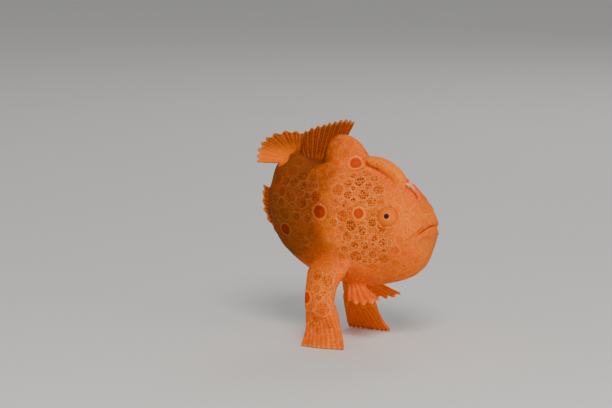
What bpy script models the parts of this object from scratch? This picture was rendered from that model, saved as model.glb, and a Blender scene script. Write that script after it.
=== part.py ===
"""A life-size juvenile frogfish, standing on its two leg-like pectoral fins.

The fish faces +X, its right side is towards -Y and +Z is up. The origin is on the floor under
the body. The body is one lofted form, parted by thin cuts into head, lower jaw, trunk and tail.
Sizes are written in millimetres and brought to metres where a mesh is made.
"""

import math

import bmesh
import bpy
from mathutils import Matrix, Vector
from mathutils.bvhtree import BVHTree

MM = 0.001
CUT_GAP = 0.3
FLOOR_DROP = 1.0

BODY_RINGS = 36
BODY_SIDES = 30
BODY_SQUARENESS = 2.25

# Body stations from the snout to the tail end: centre x, y, z, slant of the section in degrees,
# reach up, reach down, half width, roll towards the right side in degrees.
BODY_STATIONS = (
    (21.2, 0.0, 26.4, 0, 0.9, 1.5, 1.6, 13),
    (20.8, 0.0, 26.2, 0, 2.3, 4.0, 3.8, 13),
    (19.9, 0.0, 26.0, 0, 4.8, 5.9, 5.4, 13),
    (18.5, 0.0, 26.2, 0, 7.3, 8.3, 6.5, 13),
    (16.2, 0.0, 26.6, 0, 9.3, 10.5, 7.7, 12),
    (12.8, 0.0, 27.0, 0, 11.3, 12.3, 8.7, 11),
    (8.3, 0.0, 27.2, 0, 13.0, 13.6, 9.5, 8),
    (3.0, -0.1, 27.5, 3, 13.8, 13.8, 9.8, 5),
    (-2.8, -0.6, 29.0, 16, 13.6, 13.6, 9.4, 3),
    (-7.2, -1.8, 31.3, 32, 11.6, 11.4, 8.6, 0),
    (-9.8, -2.8, 34.6, 50, 8.4, 8.0, 7.2, 0),
    (-10.6, -3.4, 38.0, 66, 5.4, 5.4, 5.0, 0),
    (-10.5, -4.3, 40.4, 80, 3.4, 3.5, 2.9, 0),
    (-10.6, -4.8, 41.9, 88, 1.5, 1.6, 1.0, 0),
)

NECK_POINT = (5.5, 0.0, 27.0)
NECK_SLANT = 10.0
TAIL_POINT = (-9.9, -2.9, 35.4)
TAIL_SLANT = 58.0
MOUTH_POINT = (21.4, 0.0, 27.7)
MOUTH_SLANT = 53.0
MOUTH_REACH = 4.4
LIP_RADIUS = 0.50
LIP_SWEEP = 74.0
LIP_POINTS = 17
CHIN_DOWN = 2.9
CHIN_SUNK = 1.8
CHIN_RADIUS = 3.5
CHIN_WIDTH = 1.45

EYE_RADIUS = 2.55
EYE_CENTRE_X = 14.6
EYE_CENTRE_Z = 29.4
EYE_PROUD = 1.15
EYE_RIM_RADIUS = 0.34

NOSTRIL_SPOTS = ((19.6, 31.0), (18.0, 32.6))
NOSTRIL_RADIUS = 0.42
NOSTRIL_WALL = 0.24
GILL_PORE_RADIUS = 0.55
GILL_PORE_WALL = 0.30
GILL_PORE_X = -4.2

# Right pectoral limb: places down the arm, with half breadth and half thickness.
ARM_PATH = (
    (2.0, -5.0, 21.5, 4.6, 3.4),
    (0.9, -8.2, 17.5, 4.3, 3.3),
    (-0.2, -9.6, 13.6, 3.7, 2.8),
    (-0.6, -10.2, 10.4, 3.5, 2.4),
    (-0.3, -10.5, 8.0, 3.6, 2.1),
    (-0.2, -10.6, 7.0, 2.8, 1.6),
)
ARM_RINGS = 16
ARM_SIDES = 18
FAR_LIMB_SHIFT = -2.2

# Middle surface of the right hand: the wrist line, the bend above the floor and the ray tips.
HAND_ROOT = ((-3.3, -10.0, 8.6), (-0.3, -10.3, 7.6), (2.6, -9.9, 9.2))
HAND_KNEE = ((-3.9, -10.7, 1.3), (0.4, -11.0, 0.7), (6.2, -10.5, 1.6))
HAND_TIP = ((-3.9, -13.0, 0.2), (1.5, -13.6, 0.2), (6.9, -12.7, 0.2))

# Every other fin: three places along its root, with the ray directions, the ray lengths and the
# sideways push at the ray tips there.
PELVIC_ROOT = ((2.6, -2.6, 13.2), (4.6, -2.9, 12.9), (6.6, -2.7, 12.7))
PELVIC_AIMS = ((-0.05, -0.35, -1.0), (0.5, -0.40, -0.85), (1.0, -0.35, -0.55))
PELVIC_LENGTHS = (4.2, 5.4, 5.6)
PELVIC_CURL = ((0.5, -0.4, 0.2), (0.5, -0.4, 0.2), (0.5, -0.4, 0.2))
PELVIC_SUNK = 0.25
DORSAL_ROOT = ((-2.0, -1.5, 38.6), (-5.2, -2.8, 38.0), (-8.4, -4.4, 39.2))
DORSAL_AIMS = ((0.15, 0.62, 0.9), (-0.30, 0.78, 0.8), (-0.75, 0.80, 0.35))
DORSAL_LENGTHS = (10.4, 12.2, 10.2)
DORSAL_CURL = ((0.4, 0.8, 0.4), (0.4, 0.8, 0.4), (0.4, 0.8, 0.4))
DORSAL_RIPPLE = 0.5
DORSAL_WAVES = 1.6
ANAL_ROOT = ((-11.2, -2.4, 22.6), (-14.0, -3.2, 27.2), (-14.6, -3.9, 31.8))
ANAL_AIMS = ((-0.7, -0.35, -0.55), (-0.85, -0.55, 0.10), (-0.55, -0.70, 0.45))
ANAL_LENGTHS = (3.4, 4.4, 4.2)
ANAL_CURL = ((0.8, -0.8, 0.6), (0.8, -0.8, 0.6), (0.8, -0.8, 0.6))
CAUDAL_ROOT = ((-10.4, -5.6, 38.7), (-10.2, -5.0, 40.0), (-9.0, -4.4, 40.6))
CAUDAL_AIMS = ((-0.72, -0.66, 0.06), (-0.80, -0.10, 0.52), (-0.10, 0.62, 0.80))
CAUDAL_LENGTHS = (7.0, 7.4, 5.4)
CAUDAL_CURL = ((-0.3, -0.9, 0.1), (0.0, -0.5, 0.2), (0.0, 0.2, 0.0))

RAYS = {"pectoral": 10, "pelvic": 5, "dorsal": 12, "anal": 7, "caudal": 9}
RAY_ROWS = {"pectoral": 7, "pelvic": 5, "dorsal": 6, "anal": 5, "caudal": 6}
ROOT_HALF = {"pectoral": 1.5, "pelvic": 0.9, "dorsal": 0.8, "anal": 0.8, "caudal": 0.8}
SCALLOP = {"pectoral": 0.05, "pelvic": 0.10, "dorsal": 0.06, "anal": 0.06, "caudal": 0.07}
COLUMNS_PER_RAY = 3
WEB_HALF = 0.27
RAY_RIDGE = 0.24

# Lobe of the third dorsal spine from its root up: centre x, y, z, half length, half width.
NAPE_LOBE = (
    (1.9, -1.4, 36.0, 6.6, 3.6),
    (1.6, -1.7, 39.6, 6.0, 3.1),
    (1.3, -1.8, 42.0, 4.9, 2.6),
    (0.9, -1.7, 43.9, 3.4, 2.1),
    (0.4, -1.6, 45.0, 1.9, 1.5),
    (0.2, -1.6, 45.4, 0.7, 0.6),
)
NAPE_RINGS = 14
NAPE_SIDES = 20
NAPE_ROOM = 0.39

# Second dorsal spine from its root back: x, height over the head, radius.
SECOND_SPINE = (
    (15.4, -1.6, 1.5),
    (14.7, 0.5, 1.6),
    (13.2, 1.45, 1.55),
    (11.5, 1.75, 1.45),
    (9.8, 1.8, 1.3),
    (8.2, 1.85, 1.05),
    (7.0, 1.9, 0.6),
)
SECOND_SPINE_Y = -1.6

# Rod of the lure from its root back: x, height over the head, radius.
LURE_ROD = (
    (19.9, -0.9, 0.34),
    (19.5, 0.7, 0.34),
    (18.8, 1.05, 0.30),
    (18.0, 1.1, 0.28),
    (17.4, 1.15, 0.26),
)
LURE_HEART_RADIUS = 0.72
LURE_LOBES = 5
LURE_LOBE_RADII = (0.30, 0.34, 0.22)
LURE_LOBE_REACH = (0.75, 1.25)

SKIN_ORANGE = (0.86, 0.20, 0.015)
FIN_ORANGE = (0.80, 0.22, 0.03)
FIN_RED = (0.62, 0.10, 0.02)
EYE_ORANGE = (0.85, 0.28, 0.02)
LURE_CREAM = (0.80, 0.62, 0.42)


def remove_everything():
    for obj in list(bpy.data.objects):
        bpy.data.objects.remove(obj, do_unlink=True)


def make_collection(name):
    found = bpy.data.collections.new(name)
    bpy.context.scene.collection.children.link(found)
    return found


def make_material(name, colour, roughness):
    material = bpy.data.materials.new(name)
    material.use_nodes = True
    shader = material.node_tree.nodes["Principled BSDF"]
    shader.inputs["Base Color"].default_value = (*colour, 1.0)
    shader.inputs["Roughness"].default_value = roughness
    shader.inputs["Metallic"].default_value = 0.0
    return material


def make_object(name, points, faces, collection):
    """A mesh object from points in millimetres."""
    mesh = bpy.data.meshes.new(name)
    mesh.from_pydata([Vector(p) * MM for p in points], [], faces)
    mesh.update()
    obj = bpy.data.objects.new(name, mesh)
    collection.objects.link(obj)
    return obj


def smooth_step(value):
    value = min(1.0, max(0.0, value))
    return value * value * (3.0 - 2.0 * value)


def blend_rows(rows, t):
    """Catmull-Rom value of each column of rows at t, from 0 to 1 along the rows."""
    last = len(rows) - 1
    place = t * last
    i = min(int(place), last - 1)
    f = place - i
    before = rows[max(i - 1, 0)]
    after = rows[min(i + 2, last)]
    result = []
    for a, b, c, d in zip(before, rows[i], rows[i + 1], after):
        bend = 2.0 * b + (c - a) * f + (2.0 * a - 5.0 * b + 4.0 * c - d) * f * f
        result.append(0.5 * (bend + (3.0 * b - a - 3.0 * c + d) * f ** 3))
    return result


def body_point(t, angle, grow=0.0):
    """A point of the body: t runs from snout to tail, angle from the right side over the back."""
    x, y, z, slant, up, down, half, roll = blend_rows(BODY_STATIONS, t)
    slant = math.radians(slant)
    roll = math.radians(roll)
    back_up = Vector((math.sin(slant), 0.0, math.cos(slant)))
    side = Vector((0.0, -1.0, 0.0))
    up_axis = back_up * math.cos(roll) + side * math.sin(roll)
    side_axis = side * math.cos(roll) - back_up * math.sin(roll)
    power = 2.0 / BODY_SQUARENESS
    c = math.cos(angle)
    s = math.sin(angle)
    across = math.copysign(abs(c) ** power, c) * (half + grow)
    reach = (up if s > 0 else down) + grow
    height = math.copysign(abs(s) ** power, s) * reach
    return Vector((x, y, z - FLOOR_DROP)) + side_axis * across + up_axis * height


def loft_faces(rings, sides):
    faces = []
    for i in range(rings - 1):
        for j in range(sides):
            k = (j + 1) % sides
            a = i * sides + j
            b = i * sides + k
            faces.append((a, b, b + sides, a + sides))
    return faces


def face_outward(obj):
    bm = bmesh.new()
    bm.from_mesh(obj.data)
    bmesh.ops.recalc_face_normals(bm, faces=bm.faces)
    bm.to_mesh(obj.data)
    bm.free()


def loft(name, rings, collection):
    """A closed loft through rings of points, with a point at the middle of each end."""
    sides = len(rings[0])
    points = [p for ring in rings for p in ring]
    faces = loft_faces(len(rings), sides)
    for ring, order in ((0, 1), (len(rings) - 1, -1)):
        middle = sum((Vector(p) for p in rings[ring]), Vector()) / sides
        points.append(middle)
        for j in range(sides):
            a = ring * sides + j
            b = ring * sides + (j + 1) % sides
            faces.append((b, a, len(points) - 1)[::order])
    obj = make_object(name, points, faces, collection)
    face_outward(obj)
    return obj


def body_loft(name, collection, grow=0.0):
    rings = []
    for i in range(BODY_RINGS):
        t = (i / (BODY_RINGS - 1)) ** 1.15
        ring = [body_point(t, 2.0 * math.pi * j / BODY_SIDES, grow) for j in range(BODY_SIDES)]
        rings.append(ring)
    if grow:
        rings.insert(0, [p + Vector((grow, 0, 0)) for p in rings[0]])
        rings.append([p + Vector((0, 0, grow)) for p in rings[-1]])
    return loft(name, rings, collection)


def bake(obj):
    """Replace the mesh of an object by its evaluated one and drop the modifiers."""
    graph = bpy.context.evaluated_depsgraph_get()
    graph.update()
    mesh = bpy.data.meshes.new_from_object(obj.evaluated_get(graph))
    obj.modifiers.clear()
    obj.data = mesh


def keep_largest(obj):
    bm = bmesh.new()
    bm.from_mesh(obj.data)
    bmesh.ops.remove_doubles(bm, verts=bm.verts, dist=2e-6)
    bmesh.ops.dissolve_degenerate(bm, edges=bm.edges, dist=1e-6)
    bmesh.ops.triangulate(bm, faces=bm.faces)
    left = set(bm.faces)
    islands = []
    while left:
        first = left.pop()
        island = [first]
        stack = [first]
        while stack:
            face = stack.pop()
            for edge in face.edges:
                for other in edge.link_faces:
                    if other in left:
                        left.remove(other)
                        island.append(other)
                        stack.append(other)
        islands.append(island)
    islands.sort(key=lambda faces: sum(f.calc_area() for f in faces), reverse=True)
    loose = [f for island in islands[1:] for f in island]
    bmesh.ops.delete(bm, geom=loose, context="FACES")
    bm.to_mesh(obj.data)
    bm.free()


def combine(obj, others, operation, solver="EXACT"):
    """Join others to an object, or cut them from it, then remove them."""
    group = bpy.data.collections.new("group")
    bpy.context.scene.collection.children.link(group)
    for other in others:
        for holder in list(other.users_collection):
            holder.objects.unlink(other)
        group.objects.link(other)
    modifier = obj.modifiers.new("combine", "BOOLEAN")
    modifier.operation = operation
    modifier.operand_type = "COLLECTION"
    modifier.collection = group
    modifier.solver = solver
    bake(obj)
    for other in others:
        bpy.data.objects.remove(other, do_unlink=True)
    bpy.data.collections.remove(group)
    keep_largest(obj)


def copy_of(obj, name, collection):
    twin = bpy.data.objects.new(name, obj.data.copy())
    collection.objects.link(twin)
    return twin


def slab(point, normal, collection, size=120.0):
    """A big box whose one face passes through point, with normal pointing into the box."""
    bpy.ops.mesh.primitive_cube_add(size=size * MM)
    obj = bpy.context.object
    for holder in list(obj.users_collection):
        holder.objects.unlink(obj)
    collection.objects.link(obj)
    normal = Vector(normal).normalized()
    turn = normal.to_track_quat("Z", "Y").to_matrix().to_4x4()
    place = (Vector(point) + normal * size / 2.0) * MM
    obj.data.transform(Matrix.Translation(place) @ turn)
    return obj


def ball(name, centre, radius, collection, segments=24, rings=14, aim=(0, 0, 1)):
    mesh = bpy.data.meshes.new(name)
    bm = bmesh.new()
    bmesh.ops.create_uvsphere(bm, u_segments=segments, v_segments=rings, radius=radius * MM)
    turn = Vector(aim).to_track_quat("Z", "Y").to_matrix().to_4x4()
    bmesh.ops.transform(bm, matrix=Matrix.Translation(Vector(centre) * MM) @ turn, verts=bm.verts)
    bm.to_mesh(mesh)
    bm.free()
    obj = bpy.data.objects.new(name, mesh)
    collection.objects.link(obj)
    return obj


def ring_tube(centre, aim, radius, thickness, collection, around=24, section=8):
    """A torus round an axis, for an eye rim or a nostril."""
    bpy.ops.mesh.primitive_torus_add(
        major_segments=around,
        minor_segments=section,
        major_radius=radius * MM,
        minor_radius=thickness * MM,
    )
    obj = bpy.context.object
    for holder in list(obj.users_collection):
        holder.objects.unlink(obj)
    collection.objects.link(obj)
    turn = Vector(aim).to_track_quat("Z", "Y").to_matrix().to_4x4()
    obj.data.transform(Matrix.Translation(Vector(centre) * MM) @ turn)
    return obj


def tube(name, path, radii, collection, sides=10):
    """A closed tube along a path, its radius changing from point to point."""
    rings = []
    for i, (place, radius) in enumerate(zip(path, radii)):
        ahead = Vector(path[min(i + 1, len(path) - 1)]) - Vector(path[max(i - 1, 0)])
        frame = ahead.to_track_quat("Z", "Y").to_matrix()
        ring = []
        for j in range(sides):
            angle = 2.0 * math.pi * j / sides
            offset = Vector((math.cos(angle), math.sin(angle), 0.0)) * radius
            ring.append(Vector(place) + frame @ offset)
        rings.append(ring)
    return loft(name, rings, collection)


def fan(base, directions, lengths, curl, ripple=0.0, waves=3.0):
    """The middle surface of a fin: rays spread from a base line and curl over towards their ends.

    base and directions are three places along the fin's root, lengths the ray lengths there,
    and curl the sideways push at the end of the first and the last ray.
    """

    def point(u, v):
        root = Vector(blend_rows(base, u))
        aim = Vector(blend_rows(directions, u)).normalized()
        length = blend_rows([(n,) for n in lengths], u)[0]
        push = Vector(blend_rows(curl, u))
        wave = math.sin(waves * 2.0 * math.pi * u) * ripple * v
        side = aim.cross(Vector(base[-1]) - Vector(base[0])).normalized()
        return root + aim * length * v + push * v * v + side * wave

    return point


def membrane(name, kind, middle, collection):
    """A fin as one closed sheet: its rays are ridges in the sheet's own two faces."""
    rays = RAYS[kind]
    rows = RAY_ROWS[kind]
    columns = rays * COLUMNS_PER_RAY
    step = 0.01
    faces_up = []
    faces_down = []
    for i in range(columns + 1):
        u = i / columns
        ray = 0.5 - 0.5 * math.cos(2.0 * math.pi * u * rays)
        reach = 1.0 - SCALLOP[kind] * (1.0 - ray)
        for j in range(rows + 1):
            v = j / rows * reach
            centre = middle(u, v)
            across = middle(min(u + step, 1.0), v) - middle(max(u - step, 0.0), v)
            along = middle(u, v + step) - middle(u, max(v - step, 0.0))
            normal = across.cross(along).normalized()
            root = (ROOT_HALF[kind] - WEB_HALF) * (1.0 - smooth_step(v * 2.2))
            half = WEB_HALF + root + RAY_RIDGE * ray * (1.0 - 0.55 * v)
            faces_up.append(centre + normal * half)
            faces_down.append(centre - normal * half)
    points = faces_up + faces_down
    count = len(faces_up)
    faces = []

    def spot(i, j):
        return i * (rows + 1) + j

    for i in range(columns):
        for j in range(rows):
            a, b, c, d = spot(i, j), spot(i + 1, j), spot(i + 1, j + 1), spot(i, j + 1)
            for corner in ((a, b, c), (a, c, d)):
                faces.append(corner)
                faces.append(tuple(count + n for n in reversed(corner)))
    rim = [spot(i, 0) for i in range(columns)]
    rim += [spot(columns, j) for j in range(rows)]
    rim += [spot(i, rows) for i in range(columns, 0, -1)]
    rim += [spot(0, j) for j in range(rows, 0, -1)]
    for a, b in zip(rim, rim[1:] + rim[:1]):
        faces.append((a, count + a, b))
        faces.append((b, count + a, count + b))
    obj = make_object(name, points, faces, collection)
    face_outward(obj)
    return obj


def mirrored(vector):
    return Vector((vector[0], -vector[1], vector[2]))


def surface_tree(obj):
    bm = bmesh.new()
    bm.from_mesh(obj.data)
    bm.transform(Matrix.Scale(1.0 / MM, 4))
    tree = BVHTree.FromBMesh(bm)
    bm.free()
    return tree


def hit(tree, start, direction):
    """Where a ray from inside leaves the body, with the outward normal there."""
    place, normal, _, _ = tree.ray_cast(Vector(start), Vector(direction).normalized())
    if place is None:
        raise ValueError("a ray from inside the body found no surface")
    return place, normal


def mouth_plane():
    slant = math.radians(MOUTH_SLANT)
    point = Vector(MOUTH_POINT) - Vector((0, 0, FLOOR_DROP))
    down = Vector((-math.cos(slant), 0.0, -math.sin(slant)))
    forward = Vector((math.sin(slant), 0.0, -math.cos(slant)))
    return point, down, forward


def lip(name, tree, offset, radius, collection):
    """A rounded lip along the mouth line, from one mouth corner over the snout to the other."""
    point, down, forward = mouth_plane()
    start = point + down * MOUTH_REACH + forward * offset
    path = []
    radii = []
    for i in range(LIP_POINTS):
        share = i / (LIP_POINTS - 1)
        angle = math.radians(-LIP_SWEEP + 2.0 * LIP_SWEEP * share)
        aim = -down * math.cos(angle) + Vector((0.0, -1.0, 0.0)) * math.sin(angle)
        place, normal = hit(tree, start, aim)
        path.append(place - normal * radius * 0.30)
        radii.append(radius * (0.45 + 0.55 * math.sin(math.pi * share) ** 0.6))
    return tube(name, path, radii, collection, sides=8)


def chin(collection):
    """A rounded knob that makes the tip of the lower jaw stand proud of the upper lip."""
    point, down, forward = mouth_plane()
    obj = ball("chin", (0.0, 0.0, 0.0), CHIN_RADIUS, collection, 24, 14)
    place = (point + down * CHIN_DOWN - forward * CHIN_SUNK) * MM
    obj.data.transform(Matrix.Translation(place) @ Matrix.Scale(CHIN_WIDTH, 4, (0, 1, 0)))
    return obj


def eye_spot(tree, side):
    """Centre and outward direction of an eye; side is -1 for the right eye, 1 for the left."""
    start = Vector((EYE_CENTRE_X - 1.0, 0.0, EYE_CENTRE_Z - FLOOR_DROP))
    place, normal = hit(tree, start, (0.16, side, 0.10))
    aim = (normal + Vector((0.10, side * 0.5, 0.10))).normalized()
    return place + aim * (EYE_PROUD - EYE_RADIUS), aim


def finish_node(obj, material, collection):
    obj.data.materials.clear()
    obj.data.materials.append(material)
    for holder in list(obj.users_collection):
        holder.objects.unlink(obj)
    collection.objects.link(obj)
    obj.data.shade_smooth()
    obj.data.set_sharp_from_angle(angle=math.radians(50.0))


def make_head_and_jaw(body, tree, scratch):
    point, _, forward = mouth_plane()
    neck = Vector(NECK_POINT) - Vector((0, 0, FLOOR_DROP))
    slant = math.radians(NECK_SLANT)
    back = Vector((-math.cos(slant), 0.0, math.sin(slant)))
    head = copy_of(body, "head", scratch)
    jaw = copy_of(body, "lower_jaw", scratch)
    spots = [(eye_spot(tree, side), side) for side in (-1, 1)]

    head_forms = [lip("upper_lip", tree, -LIP_RADIUS - CUT_GAP, LIP_RADIUS, scratch)]
    for (centre, aim), side in spots:
        rim_place = centre + aim * (EYE_RADIUS - EYE_PROUD) * 0.9
        head_forms.append(
            ring_tube(rim_place, aim, EYE_RADIUS * 0.98, EYE_RIM_RADIUS, scratch)
        )
        for x, z in NOSTRIL_SPOTS:
            start = Vector((x - 4.0, 0.0, z - FLOOR_DROP - 2.0))
            place, normal = hit(tree, start, (0.75, side * 0.8, 0.42))
            wall = NOSTRIL_WALL
            head_forms.append(ring_tube(place, normal, NOSTRIL_RADIUS, wall, scratch, 12, 6))
    combine(head, head_forms, "UNION")
    combine(head, [slab(point - forward * CUT_GAP / 2, forward, scratch)], "DIFFERENCE")
    combine(head, [slab(neck - back * CUT_GAP / 2, back, scratch)], "DIFFERENCE")
    for (centre, _), _ in spots:
        socket = ball("socket", centre, EYE_RADIUS + CUT_GAP, scratch, 20, 12)
        combine(head, [socket], "DIFFERENCE")

    lower_lip = lip("lower_lip", tree, LIP_RADIUS + CUT_GAP, LIP_RADIUS * 1.15, scratch)
    combine(jaw, [lower_lip, chin(scratch)], "UNION")
    combine(jaw, [slab(point + forward * CUT_GAP / 2, -forward, scratch)], "DIFFERENCE")
    return head, jaw, spots


def make_trunk_and_tail(body, scratch):
    neck = Vector(NECK_POINT) - Vector((0, 0, FLOOR_DROP))
    slant = math.radians(NECK_SLANT)
    back = Vector((-math.cos(slant), 0.0, math.sin(slant)))
    rear = Vector(TAIL_POINT) - Vector((0, 0, FLOOR_DROP))
    rise = math.radians(TAIL_SLANT)
    aft = Vector((-math.cos(rise), 0.0, math.sin(rise)))
    trunk = copy_of(body, "trunk", scratch)
    tail = copy_of(body, "tail", scratch)
    combine(trunk, [slab(neck + back * CUT_GAP / 2, -back, scratch)], "DIFFERENCE")
    combine(trunk, [slab(rear - aft * CUT_GAP / 2, aft, scratch)], "DIFFERENCE")
    combine(tail, [slab(rear + aft * CUT_GAP / 2, -aft, scratch)], "DIFFERENCE")
    return trunk, tail


def arm_loft(name, side, collection, grow=0.0):
    rings = []
    for i in range(ARM_RINGS):
        t = i / (ARM_RINGS - 1)
        x, y, z, breadth, thickness = blend_rows(ARM_PATH, t)
        ring = []
        for j in range(ARM_SIDES):
            angle = 2.0 * math.pi * j / ARM_SIDES
            across = (breadth + grow) * math.cos(angle)
            out = (thickness + grow) * math.sin(angle)
            point = Vector((x + across, y + out * 0.95, z - across * 0.12 + out * 0.3))
            ring.append(point)
        rings.append(ring)
    if grow:
        rings.append([p - Vector((0, 0, grow)) for p in rings[-1]])
    if side > 0:
        rings = [[mirrored(p) + Vector((FAR_LIMB_SHIFT, 0, 0)) for p in ring] for ring in rings]
    return loft(name, rings, collection)


def place_limb(point, side):
    if side < 0:
        return Vector(point)
    return mirrored(point) + Vector((FAR_LIMB_SHIFT, 0.0, 0.0))


def pectoral_fin(name, side, collection):
    """The hand: ten thick rays that fan down from the wrist and turn out flat on the floor."""

    def middle(u, v):
        root = Vector(blend_rows(HAND_ROOT, u))
        knee = Vector(blend_rows(HAND_KNEE, u))
        tip = Vector(blend_rows(HAND_TIP, u))
        place = root * (1.0 - v) ** 2 + knee * 2.0 * v * (1.0 - v) + tip * v * v
        return place_limb(place, side)

    return membrane(name, "pectoral", middle, collection)


def pelvic_fin(name, side, collection):
    point = fan(PELVIC_ROOT, PELVIC_AIMS, PELVIC_LENGTHS, PELVIC_CURL)

    def middle(u, v):
        place = point(u, v * (1.0 + PELVIC_SUNK) - PELVIC_SUNK)
        return place if side < 0 else mirrored(place)

    return membrane(name, "pelvic", middle, collection)


def dorsal_fin(collection):
    middle = fan(
        DORSAL_ROOT, DORSAL_AIMS, DORSAL_LENGTHS, DORSAL_CURL, DORSAL_RIPPLE, DORSAL_WAVES
    )
    return membrane("dorsal_fin", "dorsal", middle, collection)


def anal_fin(collection):
    middle = fan(ANAL_ROOT, ANAL_AIMS, ANAL_LENGTHS, ANAL_CURL)
    return membrane("anal_fin", "anal", middle, collection)


def caudal_fin(collection):
    middle = fan(CAUDAL_ROOT, CAUDAL_AIMS, CAUDAL_LENGTHS, CAUDAL_CURL)
    return membrane("caudal_fin", "caudal", middle, collection)


def third_spine(collection, grow=0.0):
    """The broad skin-covered lobe of the third dorsal spine, leaning back on the nape."""
    rings = []
    for i in range(NAPE_RINGS):
        x, y, z, length, half = blend_rows(NAPE_LOBE, i / (NAPE_RINGS - 1))
        ring = []
        for j in range(NAPE_SIDES):
            angle = 2.0 * math.pi * j / NAPE_SIDES
            out = Vector(((length + grow) * math.cos(angle), (half + grow) * math.sin(angle), 0.0))
            ring.append(Vector((x, y, z)) + out)
        rings.append(ring)
    if grow:
        rings.append([p + Vector((0, 0, grow)) for p in rings[-1]])
    return loft("dorsal_spine_3", rings, collection)


def second_spine(tree, collection):
    """The thick second dorsal spine, folded back over the head behind its root."""
    path = []
    for x, lift, _ in SECOND_SPINE:
        place, normal = hit(tree, (x, SECOND_SPINE_Y, 29.0), (0.0, -0.16, 1.0))
        path.append(place + normal * lift)
    radii = [row[2] for row in SECOND_SPINE]
    return tube("dorsal_spine_2", path, radii, collection, sides=12)


def illicium(tree, collection):
    """The rod of the lure laid back from the snout, with its small ragged bait."""
    path = []
    for x, lift, _ in LURE_ROD:
        place, normal = hit(tree, (x - 1.5, -1.0, 28.0), (0.12, -0.10, 1.0))
        path.append(place + normal * lift)
    rod = tube("illicium", path, [row[2] for row in LURE_ROD], collection, sides=8)
    heart = path[-1] + Vector((-0.30, 0.0, 0.25))
    lure = [ball("lure", heart, LURE_HEART_RADIUS, collection, 12, 8)]
    for k in range(LURE_LOBES):
        angle = 2.0 * math.pi * (k + 0.3) / LURE_LOBES
        out = Vector((-0.45, math.cos(angle), math.sin(angle) * 0.7 + 0.25))
        places = [heart + out * reach for reach in (0.12 + 0.02 * k, *LURE_LOBE_REACH)]
        lure.append(tube("lobe", places, LURE_LOBE_RADII, collection, 6))
    combine(rod, lure, "UNION", "MANIFOLD")
    return rod


def gill_pore(tree, side, collection):
    place, normal = hit(tree, (GILL_PORE_X, 0.0, 21.0), (-0.1, side, -0.15))
    return ring_tube(place, normal, GILL_PORE_RADIUS, GILL_PORE_WALL, collection, 14, 6)


def stand_on_origin(collection):
    """Move the whole fish so that the middle of its box's underside is the origin."""
    points = [v.co for obj in collection.objects for v in obj.data.vertices]
    low = [min(p[i] for p in points) for i in range(3)]
    high = [max(p[i] for p in points) for i in range(3)]
    shift = Vector((-(low[0] + high[0]) / 2, -(low[1] + high[1]) / 2, -low[2]))
    for obj in collection.objects:
        obj.data.transform(Matrix.Translation(shift))


def main():
    remove_everything()
    model = make_collection("frogfish")
    scratch = make_collection("cutters")
    skin = make_material("orange_skin", SKIN_ORANGE, 0.45)
    fin = make_material("orange_fin", FIN_ORANGE, 0.40)
    fin_red = make_material("red_fin", FIN_RED, 0.40)
    eye = make_material("eye_orange", EYE_ORANGE, 0.12)
    lure = make_material("lure_cream", LURE_CREAM, 0.55)

    body = body_loft("body", scratch)
    tree = surface_tree(body)
    swollen = body_loft("swollen_body", scratch, CUT_GAP)
    head, jaw, eye_spots = make_head_and_jaw(body, tree, scratch)
    trunk, tail = make_trunk_and_tail(body, scratch)

    fins = {
        "dorsal_fin": (dorsal_fin(scratch), fin_red),
        "anal_fin": (anal_fin(scratch), fin),
        "caudal_fin": (caudal_fin(scratch), fin),
        "dorsal_spine_3": (third_spine(scratch), skin),
        "dorsal_spine_2": (second_spine(tree, scratch), skin),
        "illicium": (illicium(tree, scratch), lure),
    }
    spine_room = third_spine(scratch, NAPE_ROOM)
    combine(fins["dorsal_fin"][0], [spine_room], "DIFFERENCE", "MANIFOLD")
    floor = slab((0, 0, 0), (0, 0, -1), scratch)
    for side, word in ((-1, "right"), (1, "left")):
        combine(trunk, [gill_pore(tree, side, scratch)], "UNION")
        arm = arm_loft("pectoral_arm_" + word, side, scratch)
        arm_room = arm_loft("arm_room", side, scratch, CUT_GAP)
        hand = pectoral_fin("pectoral_fin_" + word, side, scratch)
        combine(hand, [arm_room, copy_of(floor, "floor_cut", scratch)], "DIFFERENCE")
        fins["pectoral_arm_" + word] = (arm, skin)
        fins["pectoral_fin_" + word] = (hand, fin)
        fins["pelvic_fin_" + word] = (pelvic_fin("pelvic_fin_" + word, side, scratch), fin)
    for name, (obj, material) in fins.items():
        if not name.startswith("pectoral_fin"):
            combine(obj, [copy_of(swollen, "room", scratch)], "DIFFERENCE", "MANIFOLD")
        finish_node(obj, material, model)
        obj.name = name
    for (centre, aim), side in eye_spots:
        word = "right" if side < 0 else "left"
        finish_node(ball("eye_" + word, centre, EYE_RADIUS, scratch, 20, 12, aim), eye, model)
    for obj in (head, jaw, trunk, tail):
        finish_node(obj, skin, model)
    for obj in list(scratch.objects):
        bpy.data.objects.remove(obj, do_unlink=True)
    stand_on_origin(model)


main()
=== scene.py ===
"""The looks of a small orange frogfish: its skin with fins and folds, its eyes and its lure."""

import math
import random
from contextlib import contextmanager
from functools import partialmethod, reduce

import bmesh
import bpy
from bpy.props import FloatProperty, FloatVectorProperty, PointerProperty
from bpy.types import Operator, Panel, PropertyGroup
from mathutils import Matrix, Vector, noise
from mathutils.bvhtree import BVHTree
from mathutils.kdtree import KDTree


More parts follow.
